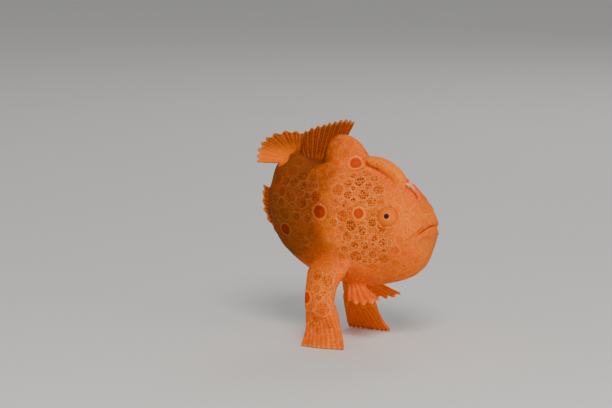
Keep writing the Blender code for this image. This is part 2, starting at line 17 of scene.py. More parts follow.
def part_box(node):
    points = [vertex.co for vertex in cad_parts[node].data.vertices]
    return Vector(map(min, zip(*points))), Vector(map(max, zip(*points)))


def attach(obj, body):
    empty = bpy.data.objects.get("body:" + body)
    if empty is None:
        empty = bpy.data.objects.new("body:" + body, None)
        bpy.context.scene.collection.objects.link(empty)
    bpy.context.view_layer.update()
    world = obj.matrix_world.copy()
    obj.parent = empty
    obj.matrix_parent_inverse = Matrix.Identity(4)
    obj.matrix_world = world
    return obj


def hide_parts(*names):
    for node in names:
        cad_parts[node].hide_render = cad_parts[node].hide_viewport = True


bl_info = {
    "name": "Frogfish",
    "version": (1, 0, 0),
    "blender": (4, 5, 0),
    "location": "View3D > Sidebar > Frogfish",
    "description": "Dresses a frogfish with its patterned skin, eyes and lure",
    "category": "Object",
}

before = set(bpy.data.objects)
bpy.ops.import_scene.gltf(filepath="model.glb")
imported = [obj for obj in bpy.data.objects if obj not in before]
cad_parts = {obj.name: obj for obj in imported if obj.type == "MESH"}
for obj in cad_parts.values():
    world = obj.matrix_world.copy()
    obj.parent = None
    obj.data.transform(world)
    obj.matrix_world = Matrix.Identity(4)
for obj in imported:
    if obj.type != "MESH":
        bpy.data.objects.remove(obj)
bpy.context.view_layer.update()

MM = 0.001
CUT_GAP = 0.3
FLOOR_DROP = 1.0
RIGHT = -1
LEFT = 1
SIDES = ((RIGHT, "right"), (LEFT, "left"))

# The body's own sizes, in millimetres, as its solids have them. A station gives the middle's x, y
# and z, the slant, the reach up and down, the half width and the roll.
COARSE_GRID = (36, 30)
FINE_GRID = (150, 130)
RING_SPACING = 1.15
BODY_SQUARENESS = 2.25
BODY_STATIONS = (
    (21.2, 0.0, 26.4, 0, 0.9, 1.5, 1.6, 13),
    (20.8, 0.0, 26.2, 0, 2.3, 4.0, 3.8, 13),
    (19.9, 0.0, 26.0, 0, 4.8, 5.9, 5.4, 13),
    (18.5, 0.0, 26.2, 0, 7.3, 8.3, 6.5, 13),
    (16.2, 0.0, 26.6, 0, 9.3, 10.5, 7.7, 12),
    (12.8, 0.0, 27.0, 0, 11.3, 12.3, 8.7, 11),
    (8.3, 0.0, 27.2, 0, 13.0, 13.6, 9.5, 8),
    (3.0, -0.1, 27.5, 3, 13.8, 13.8, 9.8, 5),
    (-2.8, -0.6, 29.0, 16, 13.6, 13.6, 9.4, 3),
    (-7.2, -1.8, 31.3, 32, 11.6, 11.4, 8.6, 0),
    (-9.8, -2.8, 34.6, 50, 8.4, 8.0, 7.2, 0),
    (-10.6, -3.4, 38.0, 66, 5.4, 5.4, 5.0, 0),
    (-10.5, -4.3, 40.4, 80, 3.4, 3.5, 2.9, 0),
    (-10.6, -4.8, 41.9, 88, 1.5, 1.6, 1.0, 0),
)

# The middle of the mouth line at the snout, the way from it to the mouth's corners, and the way
# across the lips to the lower jaw. Places from here on are lowered by FLOOR_DROP already.
MOUTH_POINT = Vector((21.4, 0.0, 26.7))
MOUTH_SLANT = math.radians(53.0)
MOUTH_DOWN = Vector((-math.cos(MOUTH_SLANT), 0.0, -math.sin(MOUTH_SLANT)))
MOUTH_FORWARD = Vector((math.sin(MOUTH_SLANT), 0.0, -math.cos(MOUTH_SLANT)))
MOUTH_REACH = 4.4
LIP_RADIUS = 0.50
LIP_SWEEP = 74.0
LIP_GRID = (33, 16)
LIP_SUNK = 0.30
LIP_CORNER = 0.45
LIP_TAPER = 0.6
LOWER_LIP_SWELL = 1.15
CHIN_DOWN = 2.9
CHIN_SUNK = 1.8
CHIN_RADIUS = 3.5
CHIN_WIDTH = 1.45
CHIN_GRID = (30, 40)

EYE_RADIUS = 2.55
EYE_PROUD = 1.15
EYE_CORE = (13.6, 0.0, 28.4)
EYE_SEEK = (0.16, 1.0, 0.10)
EYE_TURN = (0.10, 0.5, 0.10)
EYE_RIM_RADIUS = 0.27
EYE_RIM_BACK = 0.9
EYE_RIM_SPREAD = 0.98
EYE_RIM_GRID = (40, 12)
EYE_GRID = (72, 48)
SOCKET_GRID = (64, 40)
SOCKET_PLAY = 0.04
PUPIL_ANGLE = 0.235

PORE_GRID = (24, 10)
NOSTRIL_CORES = ((15.6, 0.0, 28.0), (14.0, 0.0, 29.6))
NOSTRIL_AIM = (0.75, 0.8, 0.42)
NOSTRIL_RADIUS = 0.42
NOSTRIL_WALL = 0.24
GILL_PORE_CORE = (-4.2, 0.0, 21.0)
GILL_PORE_AIM = (-0.1, 1.0, -0.15)
GILL_PORE_RADIUS = 0.55
GILL_PORE_WALL = 0.30

# The right arm from the shoulder down: middle x, y and z, half breadth and half thickness.
ARM_PATH = (
    (2.0, -5.0, 21.5, 4.6, 3.4),
    (0.9, -8.2, 17.5, 4.3, 3.3),
    (-0.2, -9.6, 13.6, 3.7, 2.8),
    (-0.6, -10.2, 10.4, 3.5, 2.4),
    (-0.3, -10.5, 8.0, 3.6, 2.1),
    (-0.2, -10.6, 7.0, 2.8, 1.6),
)
ARM_GRID = (60, 60)
ARM_FLATNESS = 0.95
ARM_TILT = 0.12
ARM_LEAN = 0.3
FAR_LIMB_SHIFT = Vector((-2.2, 0.0, 0.0))

# Middle surface of the right hand: the wrist line, the bend above the floor and the ray tips.
HAND_ROOT = ((-3.3, -10.0, 8.6), (-0.3, -10.3, 7.6), (2.6, -9.9, 9.2))
HAND_KNEE = ((-3.9, -10.7, 1.3), (0.4, -11.0, 0.7), (6.2, -10.5, 1.6))
HAND_TIP = ((-3.9, -13.0, 0.2), (1.5, -13.6, 0.2), (6.9, -12.7, 0.2))

# Every other fin: three places along its root, with the ray directions, the ray lengths and the
# sideways push at the ray tips there.
FANS = {
    "pelvic": (
        ((2.6, -2.6, 13.2), (4.6, -2.9, 12.9), (6.6, -2.7, 12.7)),
        ((-0.05, -0.35, -1.0), (0.5, -0.40, -0.85), (1.0, -0.35, -0.55)),
        ((4.2,), (5.4,), (5.6,)),
        ((0.5, -0.4, 0.2),) * 3,
    ),
    "dorsal": (
        ((-2.0, -1.5, 38.6), (-5.2, -2.8, 38.0), (-8.4, -4.4, 39.2)),
        ((0.15, 0.62, 0.9), (-0.30, 0.78, 0.8), (-0.75, 0.80, 0.35)),
        ((10.4,), (12.2,), (10.2,)),
        ((0.4, 0.8, 0.4),) * 3,
    ),
    "anal": (
        ((-11.2, -2.4, 22.6), (-14.0, -3.2, 27.2), (-14.6, -3.9, 31.8)),
        ((-0.7, -0.35, -0.55), (-0.85, -0.55, 0.10), (-0.55, -0.70, 0.45)),
        ((3.4,), (4.4,), (4.2,)),
        ((0.8, -0.8, 0.6),) * 3,
    ),
    "caudal": (
        ((-10.4, -5.6, 38.7), (-10.2, -5.0, 40.0), (-9.0, -4.4, 40.6)),
        ((-0.72, -0.66, 0.06), (-0.80, -0.10, 0.52), (-0.10, 0.62, 0.80)),
        ((7.0,), (7.4,), (5.4,)),
        ((-0.3, -0.9, 0.1), (0.0, -0.5, 0.2), (0.0, 0.2, 0.0)),
    ),
}
PELVIC_SUNK = 0.25
DORSAL_RIPPLE = 0.5
DORSAL_WAVES = 1.6

RAYS = {"pectoral": 10, "pelvic": 5, "dorsal": 12, "anal": 7, "caudal": 9}
ROOT_HALF = {"pectoral": 1.5, "pelvic": 0.9, "dorsal": 0.8, "anal": 0.8, "caudal": 0.8}
SCALLOP = {"pectoral": 0.05, "pelvic": 0.10, "dorsal": 0.06, "anal": 0.06, "caudal": 0.07}
COLUMNS_PER_RAY = 9
RAY_ROWS = 34
WEB_HALF = 0.25
ROOT_FADE = 2.2
RAY_RIDGE = 0.22
RAY_SHARPNESS = 1.5
RAY_THINNING = 0.5
SLOPE_STEP = 0.01

# Lobe of the third dorsal spine from its root up: centre x, y, z, half length, half width.
NAPE_LOBE = (
    (1.9, -1.4, 36.0, 6.6, 3.6),
    (1.6, -1.7, 39.6, 6.0, 3.1),
    (1.3, -1.8, 42.0, 4.9, 2.6),
    (0.9, -1.7, 43.9, 3.4, 2.1),
    (0.4, -1.6, 45.0, 1.9, 1.5),
    (0.2, -1.6, 45.4, 0.7, 0.6),
)
NAPE_LOBE_GRID = (46, 56)

# Second dorsal spine from its root back: x, height over the head, radius.
SECOND_SPINE = (
    (15.4, -1.6, 1.5),
    (14.7, 0.5, 1.6),
    (13.2, 1.45, 1.55),
    (11.5, 1.75, 1.45),
    (9.8, 1.8, 1.3),
    (8.2, 1.85, 1.05),
    (7.0, 1.9, 0.6),
)
SECOND_SPINE_CORE = (-1.6, 29.0)
SECOND_SPINE_AIM = (0.0, -0.16, 1.0)
SECOND_SPINE_GRID = (40, 28)

# Rod of the lure from its root back: where its ray starts in x, height over the head, radius.
LURE_ROD = (
    (18.4, -0.9, 0.34),
    (18.0, 0.7, 0.34),
    (17.3, 1.05, 0.30),
    (16.5, 1.1, 0.28),
    (15.9, 1.15, 0.26),
)
LURE_ROD_GRID = (24, 16)
LURE_CORE = (-1.0, 28.0)
LURE_AIM = (0.12, -0.10, 1.0)
LURE_VOXEL = 0.06

# The ragged bait: strands thrown out from a heart near the rod's tip.
BAIT_FROM_TIP = Vector((-0.30, 0.0, 0.25))
BAIT_STRANDS = 14
STRAND_TURN = 2.0 * math.pi / 5.0 + 0.3
STRAND_SWAY = 1.7
STRAND_DRIFT = Vector((-0.35, 0.0, 0.25))
STRAND_SPREAD = Vector((0.3, 1.0, 0.7))
STRAND_REACHES = (0.05, 0.55, 0.95, 1.2)
STRAND_RADII = (0.42, 0.32, 0.22, 0.12)
STRAND_SECTION = 10

# Swellings (up) and folds (down) of the skin: height, how far away their middle is, and width.
MOUTH_FOLDS = ((-0.50, 0.0, 0.28), (0.12, 1.15, 0.6))
EYE_FOLDS = ((0.16, 3.3, 0.7), (-0.12, 4.7, 0.8))
MOUTH_FOLD_PAST = 0.4
MOUTH_FOLD_FADE = 2.2
MOUTH_DEPTH = 9.0
# Broad and fine lumps: how fast they follow each other, their height and where in the noise.
# They fade in upwards from one height and out upwards to another, over the second number.
LUMPS = ((0.16, 0.30, Vector((0.0, 0.0, 0.0))), (0.55, 0.10, Vector((7.0, 3.0, 1.0))))
LUMPS_FROM = (10.0, 6.0)
LUMPS_UP_TO = (44.0, 4.0)

SKIN_VOXEL = 0.26
LENS_DISTANCE = 0.70
LENS_RANGE = (0.01, 20.0)
PHOTO_SIZE = (612.0, 408.0)
PHOTO_ORIGIN = (345.0, 338.5)
MM_PER_PIXEL = 0.22
VIEW_AZIMUTH = 30.0
VIEW_ELEVATION = 8.0
SENSOR_WIDTH = 36.0

# The studio, in metres. A lamp has its place, size, power and colour.
FLOOR_HALF = 3.0
LIT_POINT = Vector((0.0, 0.0, 0.025))
LAMPS = {
    "key": ((0.28, -0.42, 0.42), 0.22, 2.8, (1.0, 0.95, 0.88)),
    "fill": ((0.50, -0.16, 0.10), 0.40, 0.9, (1.0, 0.96, 0.90)),
    "rim": ((-0.10, 0.50, 0.40), 0.30, 0.6, (1.0, 0.99, 0.97)),
}
STUDIO_TINT = (0.90, 0.90, 0.90, 1)
STUDIO_STRENGTH = 0.36
FLOOR_DIM = 0.96


def smooth_step(value):
    value = min(1.0, max(0.0, value))
    return value * value * (3.0 - 2.0 * value)


def blend_rows(rows, t):
    """Catmull-Rom value of each column of rows at t, from 0 to 1 along the rows."""
    last = len(rows) - 1
    place = t * last
    i = min(int(place), last - 1)
    f = place - i
    before = rows[max(i - 1, 0)]
    after = rows[min(i + 2, last)]
    result = []
    for a, b, c, d in zip(before, rows[i], rows[i + 1], after):
        bend = 2.0 * b + (c - a) * f + (2.0 * a - 5.0 * b + 4.0 * c - d) * f * f
        result.append(0.5 * (bend + (3.0 * b - a - 3.0 * c + d) * f ** 3))
    return result


def body_point(t, c, s):
    """A point of the body: t runs from snout to tail, c and s are the cosine and sine of the turn
    from the right side over the back."""
    x, y, z, slant, up, down, half, roll = blend_rows(BODY_STATIONS, t)
    slant = math.radians(slant)
    roll = math.radians(roll)
    back_up = Vector((math.sin(slant), 0.0, math.cos(slant)))
    side = Vector((0.0, -1.0, 0.0))
    up_axis = back_up * math.cos(roll) + side * math.sin(roll)
    side_axis = side * math.cos(roll) - back_up * math.sin(roll)
    power = 2.0 / BODY_SQUARENESS
    across = math.copysign(abs(c) ** power, c) * half
    height = math.copysign(abs(s) ** power, s) * (up if s > 0 else down)
    return Vector((x, y, z - FLOOR_DROP)) + side_axis * across + up_axis * height


@contextmanager
def editing(mesh):
    """The mesh's faces and edges to work on, written back afterwards."""
    bm = bmesh.new()
    bm.from_mesh(mesh)
    yield bm
    bm.to_mesh(mesh)
    bm.free()


class Form:
    """Points in millimetres and faces of one closed piece of the cage."""

    def __init__(self):
        self.points = []
        self.faces = []
        self.rays = []

    def loft(self, rings, closed=False):
        """Join rings to a tube whose ends are capped, or which runs back into its start."""
        sides = len(rings[0])
        self.points += [Vector(p) for ring in rings for p in ring]
        total = len(self.points)
        for a in range(total if closed else total - sides):
            b = a + 1 if (a + 1) % sides else a + 1 - sides
            self.faces.append((a, b, (b + sides) % total, (a + sides) % total))
        for start in () if closed else (0, total - sides):
            self.points.append(sum(self.points[start:start + sides], Vector()) / sides)
            tip = len(self.points) - 1
            for a in range(start, start + sides):
                b = a + 1 if (a + 1) % sides else a + 1 - sides
                self.faces.append((a, b, tip) if start else (b, a, tip))
        return self

    def mesh(self, name):
        mesh = bpy.data.meshes.new(name)
        mesh.from_pydata([p * MM for p in self.points], [], self.faces)
        with editing(mesh) as bm:
            bmesh.ops.recalc_face_normals(bm, faces=bm.faces)
        return mesh


def sweep(rows, sides, spot, closed=False):
    """Loft the rings that spot draws for each row from the cosine and sine of even turns."""
    angles = [2.0 * math.pi * i / sides for i in range(sides)]
    circle = [(math.cos(angle), math.sin(angle)) for angle in angles]
    return Form().loft([[spot(row, c, s) for c, s in circle] for row in rows], closed)


def body_form(rings, sides):
    return sweep([(i / (rings - 1)) ** RING_SPACING for i in range(rings)], sides, body_point)


def tube_form(path, radii, sides):
    rows = []
    for i, (place, radius) in enumerate(zip(path, radii)):
        ahead = Vector(path[min(i + 1, len(path) - 1)]) - Vector(path[max(i - 1, 0)])
        rows.append((Vector(place), ahead.to_track_quat("Z", "Y").to_matrix(), radius))
    return sweep(rows, sides, lambda row, c, s: row[0] + row[1] @ (Vector((c, s, 0)) * row[2]))


def smooth_path(rows, count):
    return [blend_rows(rows, i / (count - 1)) for i in range(count)]


def torus_form(centre, aim, radius, thickness, around, section):
    turn = Vector(aim).to_track_quat("Z", "Y").to_matrix()

    def spot(angle, c, s):
        local = Vector((math.cos(angle), math.sin(angle), 0.0)) * (radius + thickness * c)
        local.z = thickness * s
        return centre + turn @ local

    return sweep([2.0 * math.pi * i / around for i in range(around)], section, spot, closed=True)


def fan(kind, ripple=0.0, waves=0.0):
    """The middle surface of a fin: rays spread from a base line and curl towards their ends."""
    base, directions, lengths, curl = FANS[kind]

    def point(u, v):
        root = Vector(blend_rows(base, u))
        aim = Vector(blend_rows(directions, u)).normalized()
        length = blend_rows(lengths, u)[0]
        push = Vector(blend_rows(curl, u))
        wave = math.sin(waves * 2.0 * math.pi * u) * ripple * v
        side = aim.cross(Vector(base[-1]) - Vector(base[0])).normalized()
        return root + aim * length * v + push * v * v + side * wave

    return point


def membrane_form(kind, middle):
    """A fin as one closed sheet whose rays are round ridges on both faces."""
    form = Form()
    rays = RAYS[kind]
    rows = RAY_ROWS
    columns = rays * COLUMNS_PER_RAY
    step = SLOPE_STEP
    upper = []
    lower = []
    marks = []
    for i in range(columns + 1):
        u = i / columns
        ray = 0.5 - 0.5 * math.cos(2.0 * math.pi * u * rays)
        reach = 1.0 - SCALLOP[kind] * (1.0 - ray)
        for j in range(rows + 1):
            v = j / rows * reach
            centre = middle(u, v)
            across = middle(min(u + step, 1.0), v) - middle(max(u - step, 0.0), v)
            along = middle(u, v + step) - middle(u, max(v - step, 0.0))
            normal = across.cross(along).normalized()
            root = (ROOT_HALF[kind] - WEB_HALF) * (1.0 - smooth_step(v * ROOT_FADE))
            half = WEB_HALF + root + RAY_RIDGE * ray ** RAY_SHARPNESS * (1.0 - RAY_THINNING * v)
            upper.append(centre + normal * half)
            lower.append(centre - normal * half)
            marks.append((ray, j / rows))
    form.points = upper + lower
    form.rays = marks + marks
    count = len(upper)

    def spot(i, j):
        return i * (rows + 1) + j

    for i in range(columns):
        for j in range(rows):
            quad = (spot(i, j), spot(i + 1, j), spot(i + 1, j + 1), spot(i, j + 1))
            form.faces.append(quad)
            form.faces.append(tuple(count + n for n in reversed(quad)))
    rim = [spot(i, 0) for i in range(columns)]
    rim += [spot(columns, j) for j in range(rows)]
    rim += [spot(i, rows) for i in range(columns, 0, -1)]
    rim += [spot(0, j) for j in range(rows, 0, -1)]
    for a, b in zip(rim, rim[1:] + rim[:1]):
        form.faces.append((a, count + a, count + b, b))
    return form


def sided(vector, side):
    """The vector, or its mirror image across the fish's middle where side is -1."""
    return Vector((vector[0], vector[1] * side, vector[2]))


def place_limb(point, side):
    """A point of the right limb, or the same point of the left one, which is set further back."""
    if side == RIGHT:
        return Vector(point)
    return sided(point, -1) + FAR_LIMB_SHIFT


def hit(tree, start, direction):
    """Where a ray from inside leaves the body, with the outward normal there."""
    place, normal, _, _ = tree.ray_cast(Vector(start), Vector(direction).normalized())
    if place is None:
        raise ValueError("a ray from inside the body found no surface")
    return place, normal


def coarse_tree():
    mesh = body_form(*COARSE_GRID).mesh("coarse_body")
    with editing(mesh) as bm:
        bm.transform(Matrix.Scale(1.0 / MM, 4))
        tree = BVHTree.FromBMesh(bm)
    bpy.data.meshes.remove(mesh)
    return tree


def lip_form(tree, offset, radius):
    """A rounded lip along the mouth line, from one mouth corner over the snout to the other."""
    start = MOUTH_POINT + MOUTH_DOWN * MOUTH_REACH + MOUTH_FORWARD * offset
    count, section = LIP_GRID
    path = []
    radii = []
    for i in range(count):
        share = i / (count - 1)
        angle = math.radians(-LIP_SWEEP + 2.0 * LIP_SWEEP * share)
        aim = -MOUTH_DOWN * math.cos(angle) + Vector((0.0, -1.0, 0.0)) * math.sin(angle)
        place, normal = hit(tree, start, aim)
        path.append(place - normal * radius * LIP_SUNK)
        fullness = math.sin(math.pi * share) ** LIP_TAPER
        radii.append(radius * (LIP_CORNER + (1.0 - LIP_CORNER) * fullness))
    return tube_form(path, radii, section)


def eye_spot(tree, side):
    """Centre and outward direction of an eye."""
    place, normal = hit(tree, EYE_CORE, sided(EYE_SEEK, side))
    aim = (normal + sided(EYE_TURN, side)).normalized()
    return place + aim * (EYE_PROUD - EYE_RADIUS), aim


def arm_form(side):
    count, section = ARM_GRID

    def spot(row, c, s):
        x, y, z, breadth, thickness = row
        across = breadth * c
        out = thickness * s
        place = (x + across, y + out * ARM_FLATNESS, z - across * ARM_TILT + out * ARM_LEAN)
        return place_limb(place, side)

    return sweep(smooth_path(ARM_PATH, count), section, spot)


def pectoral_fin_form(side):
    """The hand: ten thick rays that fan down from the wrist and turn out flat on the floor."""

    def middle(u, v):
        root, knee, tip = (Vector(blend_rows(row, u)) for row in (HAND_ROOT, HAND_KNEE, HAND_TIP))
        place = root * (1.0 - v) ** 2 + knee * 2.0 * v * (1.0 - v) + tip * v * v
        return place_limb(place, side)

    return membrane_form("pectoral", middle)


def pelvic_fin_form(side):
    point = fan("pelvic")

    def middle(u, v):
        return sided(point(u, v * (1.0 + PELVIC_SUNK) - PELVIC_SUNK), -side)

    return membrane_form("pelvic", middle)


def third_spine_form():
    """The broad skin-covered lobe of the third dorsal spine, leaning back on the nape."""
    count, section = NAPE_LOBE_GRID

    def spot(row, c, s):
        x, y, z, length, half = row
        return x + length * c, y + half * s, z

    return sweep(smooth_path(NAPE_LOBE, count), section, spot)


def over_head(tree, rows, core, aim):
    """Along a spine: the place on the head under it, the normal there, its height and radius."""
    return [(*hit(tree, (x, *core), aim), lift, radius) for x, lift, radius in rows]


def second_spine_spots(tree):
    return over_head(tree, SECOND_SPINE, SECOND_SPINE_CORE, SECOND_SPINE_AIM)


def spine_form(spots, count, section):
    rows = [(*(place + normal * lift), radius) for place, normal, lift, radius in spots]
    fine = smooth_path(rows, count)
    return tube_form([row[:3] for row in fine], [row[3] for row in fine], section)


def chin_form():
    """The rounded knob that makes the tip of the lower jaw stand proud of the upper lip."""
    centre = MOUTH_POINT + MOUTH_DOWN * CHIN_DOWN - MOUTH_FORWARD * CHIN_SUNK
    count, section = CHIN_GRID

    def spot(angle, c, s):
        across = Vector((0.0, CHIN_WIDTH, 0.0)) * math.cos(angle)
        flat = MOUTH_DOWN * c + MOUTH_FORWARD * s
        return centre + (flat * math.sin(angle) + across) * CHIN_RADIUS

    return sweep([math.pi * i / count for i in range(1, count)], section, spot)


def cad_shift(tree):
    """How far the solids were moved, in millimetres, to stand their box on the origin."""
    low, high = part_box("eye_right")
    centre, _ = eye_spot(tree, RIGHT)
    return (Vector(low) + Vector(high)) / 2.0 / MM - centre


def object_from(data, name):
    obj = bpy.data.objects.new(name, data)
    bpy.context.scene.collection.objects.link(obj)
    return obj


def ball_mesh(name, centre, radius, grid, aim=Vector((0.0, 0.0, 1.0))):
    """A ball in metres from measures in millimetres, with its pole towards aim."""
    mesh = bpy.data.meshes.new(name)
    turn = aim.to_track_quat("Z", "Y").to_matrix().to_4x4()
    with editing(mesh) as bm:
        bmesh.ops.create_uvsphere(bm, u_segments=grid[0], v_segments=grid[1], radius=radius * MM)
        bmesh.ops.transform(bm, matrix=turn, verts=bm.verts)
        bmesh.ops.translate(bm, vec=centre * MM, verts=bm.verts)
    return mesh


def apply_modifiers(obj):
    graph = bpy.context.evaluated_depsgraph_get()
    graph.update()
    mesh = bpy.data.meshes.new_from_object(obj.evaluated_get(graph))
    obj.modifiers.clear()
    old = obj.data
    obj.data = mesh
    bpy.data.meshes.remove(old)


def keep_largest(mesh):
    with editing(mesh) as bm:
        left = set(bm.faces)
        islands = []
        while left:
            first = left.pop()
            island = [first]
            stack = [first]
            while stack:
                for edge in stack.pop().edges:
                    fresh = [face for face in edge.link_faces if face in left]
                    left.difference_update(fresh)
                    island += fresh
                    stack += fresh
            islands.append(island)
        islands.sort(key=len, reverse=True)
        loose = [face for island in islands[1:] for face in island]
        bmesh.ops.delete(bm, geom=loose, context="FACES")


def join_forms(name, forms, shift):
    whole = Form()
    for form in forms:
        start = len(whole.points)
        whole.points += [p + shift for p in form.points]
        whole.faces += [tuple(start + n for n in face) for face in form.faces]
    return object_from(whole.mesh(name), name)


def fuse(obj, voxel):
    """Fuse overlapping closed forms into one even surface."""
    modifier = obj.modifiers.new("fuse", "REMESH")
    modifier.mode = "VOXEL"
    modifier.voxel_size = voxel * MM
    apply_modifiers(obj)
    keep_largest(obj.data)


class Value:
    """A number, colour or vector on its way through a material, used in plain expressions."""

    def __init__(self, paint, socket):
        self.paint = paint
        self.socket = socket

    def math(self, operation, *others, clamp=False):
        settings = {"operation": operation, "use_clamp": clamp}
        inputs = {i: v for i, v in enumerate((self, *others))}
        return self.paint.add("ShaderNodeMath", settings, inputs).out(0)

    __add__ = partialmethod(math, "ADD")
    __radd__ = partialmethod(math, "ADD")
    __sub__ = partialmethod(math, "SUBTRACT")
    __mul__ = partialmethod(math, "MULTIPLY")
    __rmul__ = partialmethod(math, "MULTIPLY")
    __truediv__ = partialmethod(math, "DIVIDE")
    least = partialmethod(math, "MINIMUM")
    most = partialmethod(math, "MAXIMUM")
    above = partialmethod(math, "GREATER_THAN")
    size = partialmethod(math, "ABSOLUTE")
    clamped = partialmethod(math, "MULTIPLY", 1.0, clamp=True)

    def __rsub__(self, other):
        return self.math("MULTIPLY", -1.0).math("ADD", other)

    def rise(self, start, end):
        """0 at start and 1 at end, with a smooth step between; start may be the larger."""
        settings = {"interpolation_type": "SMOOTHSTEP"}
        inputs = {"Value": self, "From Min": start, "From Max": end, "To Min": 0.0, "To Max": 1.0}
        return self.paint.add("ShaderNodeMapRange", settings, inputs).out(0)

    def vector_math(self, operation, other, out=0, key=1):
        inputs = {0: self, key: other}
        return self.paint.add("ShaderNodeVectorMath", {"operation": operation}, inputs).out(out)

    shifted = partialmethod(vector_math, "ADD")
    far_from = partialmethod(vector_math, "DISTANCE", out=1)
    towards = partialmethod(vector_math, "DOT_PRODUCT", out=1)


class Added:
    """A node just added to a material, whose outputs are read by number or name."""

    def __init__(self, paint, node):
        self.paint = paint
        self.node = node

    def out(self, key):
        return Value(self.paint, self.node.outputs[key])


class Paint:
    """One material, filled with nodes."""

    def __init__(self, name):
        self.material = bpy.data.materials.new(name)
        self.material.use_nodes = True
        self.tree = self.material.node_tree
        self.shader = self.tree.nodes["Principled BSDF"]

    def feed(self, socket, value):
        if isinstance(value, Value):
            self.tree.links.new(value.socket, socket)
            return
        if socket.type == "RGBA" and len(value) == 3:
            value = (*value, 1.0)
        socket.default_value = value

    def add(self, kind, settings=None, inputs=None):
        node = self.tree.nodes.new(kind)
        for name, value in (settings or {}).items():
            setattr(node, name, value)
        for key, value in (inputs or {}).items():
            self.feed(node.inputs[key], value)
        return Added(self, node)

    def place(self):
        """The place on the piece in millimetres."""
        metres = self.add("ShaderNodeTexCoord").out("Object")
        return metres.vector_math("SCALE", 1.0 / MM, key="Scale")

    def noise(self, place, size, detail=3.0, roughness=0.55):
        inputs = {"Vector": place, "Scale": 1.0 / size, "Detail": detail, "Roughness": roughness}
        return self.add("ShaderNodeTexNoise", {"noise_dimensions": "3D"}, inputs).out(0)

    def cells(self, place, size, feature="F1", spread=1.0):
        inputs = {"Vector": place, "Scale": 1.0 / size, "Randomness": spread}
        settings = {"voronoi_dimensions": "3D", "feature": feature}
        return self.add("ShaderNodeTexVoronoi", settings, inputs)

    def mix(self, share, first, second, blend="MIX"):
        settings = {"data_type": "RGBA", "blend_type": blend, "clamp_factor": True}
        return self.add("ShaderNodeMix", settings, {0: share, 6: first, 7: second}).out(2)

    def bump(self, height, distance, strength=1.0, under=None):
        inputs = {"Height": height, "Distance": distance, "Strength": strength}
        if under is not None:
            inputs["Normal"] = under
        return self.add("ShaderNodeBump", None, inputs).out("Normal")

    def dice(self, cells):
        """Two random numbers for each cell."""
        parts = self.add("ShaderNodeSeparateColor", None, {0: cells.out("Color")})
        return parts.out(0), parts.out(1)

    def stored(self, name):
        """A value that was stored on the mesh under a name."""
        return self.add("ShaderNodeAttribute", {"attribute_name": name}).out("Fac")

    def coats(self, colour, *rows):
        """Lay tints over a colour in turn; a row says where, how much at most and which tint."""
        for where, share, tint in rows:
            colour = self.mix(where * share, colour, tint)
        return colour

    def finish(self, **sockets):
        for name, value in sockets.items():
            self.feed(self.shader.inputs[name.replace("_", " ")], value)
        return self.material


# Eye-like red spots, five on the right side and six on the left: place on the fish in millimetres
# before the shift, and the disc's radius.
RED_SPOTS = (
    ((-0.85, -9.9, 29.3), 1.34),
    ((8.7, -9.6, 29.6), 1.10),
    ((5.0, -4.3, 39.6), 1.22),
    ((-9.6, -9.3, 24.8), 1.15),
    ((-3.0, -11.8, 10.6), 1.20),
    ((-7.0, 7.2, 30.5), 1.30),
    ((3.5, 9.9, 27.5), 1.22),
    ((2.6, 1.3, 40.0), 1.15),
    ((9.5, 9.0, 20.5), 1.05),
    ((-4.4, 12.2, 11.0), 1.10),
    ((-5.0, 8.2, 21.0), 1.10),
)

# Where the rosettes crowd: middle, reach and share of them that are dark, before the shift.
ROSETTE_CROWDS = (
    ((8.3, -8.6, 33.8), 4.6, 1.0),
    ((10.0, -9.2, 24.2), 5.4, 1.0),
    ((5.6, -9.6, 29.6), 4.4, 0.55),
    ((0.0, -12.0, 13.5), 3.4, 0.62),
    ((-0.5, -12.0, 6.5), 3.0, 0.55),
    ((8.3, 8.6, 33.0), 4.6, 1.0),
    ((9.0, 9.2, 24.0), 5.6, 1.0),
    ((-2.0, 12.0, 12.0), 4.6, 0.6),
    ((13.5, -6.5, 22.5), 3.2, 0.42),
    ((-5.5, -9.5, 32.0), 5.0, 0.60),
    ((-4.0, 8.5, 32.0), 5.0, 0.55),
)
ROSETTE_SEED = 11
ROSETTE_TRIES = 26000
ROSETTE_RADII = (0.95, 1.42)
ROSETTE_SPACE = -0.04
ROSETTE_CHANCE = 0.04
NEAR_ROSETTES = 3
# The last tries are smaller rosettes between the others; those on the legs are larger.
LATE_FROM = 0.6
LATE_SIZE = 0.62
LEG_TOP = 12.0
LEG_SIZE = 1.15
RED_CLEARANCE = 1.55
TONE_RANGE = (0.75, 1.0)
FAINT_CROWD = 0.08
CROWD_SPREAD = 1.6
CROWD_EDGE = 0.95
FIN_RAY_LIFT = 0.16
FIN_RAY_LEVEL = 0.5
FIN_SKIN_REACH = 0.62
FIN_SKIN_EDGE = 0.25
FIN_ROOT_EDGE = 0.16


def crowd_at(place):
    """How strongly rosettes show at a place, from faint on the plain skin to 1 in a crowd."""
    best = FAINT_CROWD
    for middle, reach, dark in ROSETTE_CROWDS:
        left = reach * CROWD_SPREAD - (place - Vector(middle)).length
        best = max(best, dark * smooth_step(left / (reach * CROWD_EDGE)))
    return best


def store(mesh, rows):
    for name, values in rows.items():
        mesh.attributes.new(name, "FLOAT", "POINT").data.foreach_set("value", values)


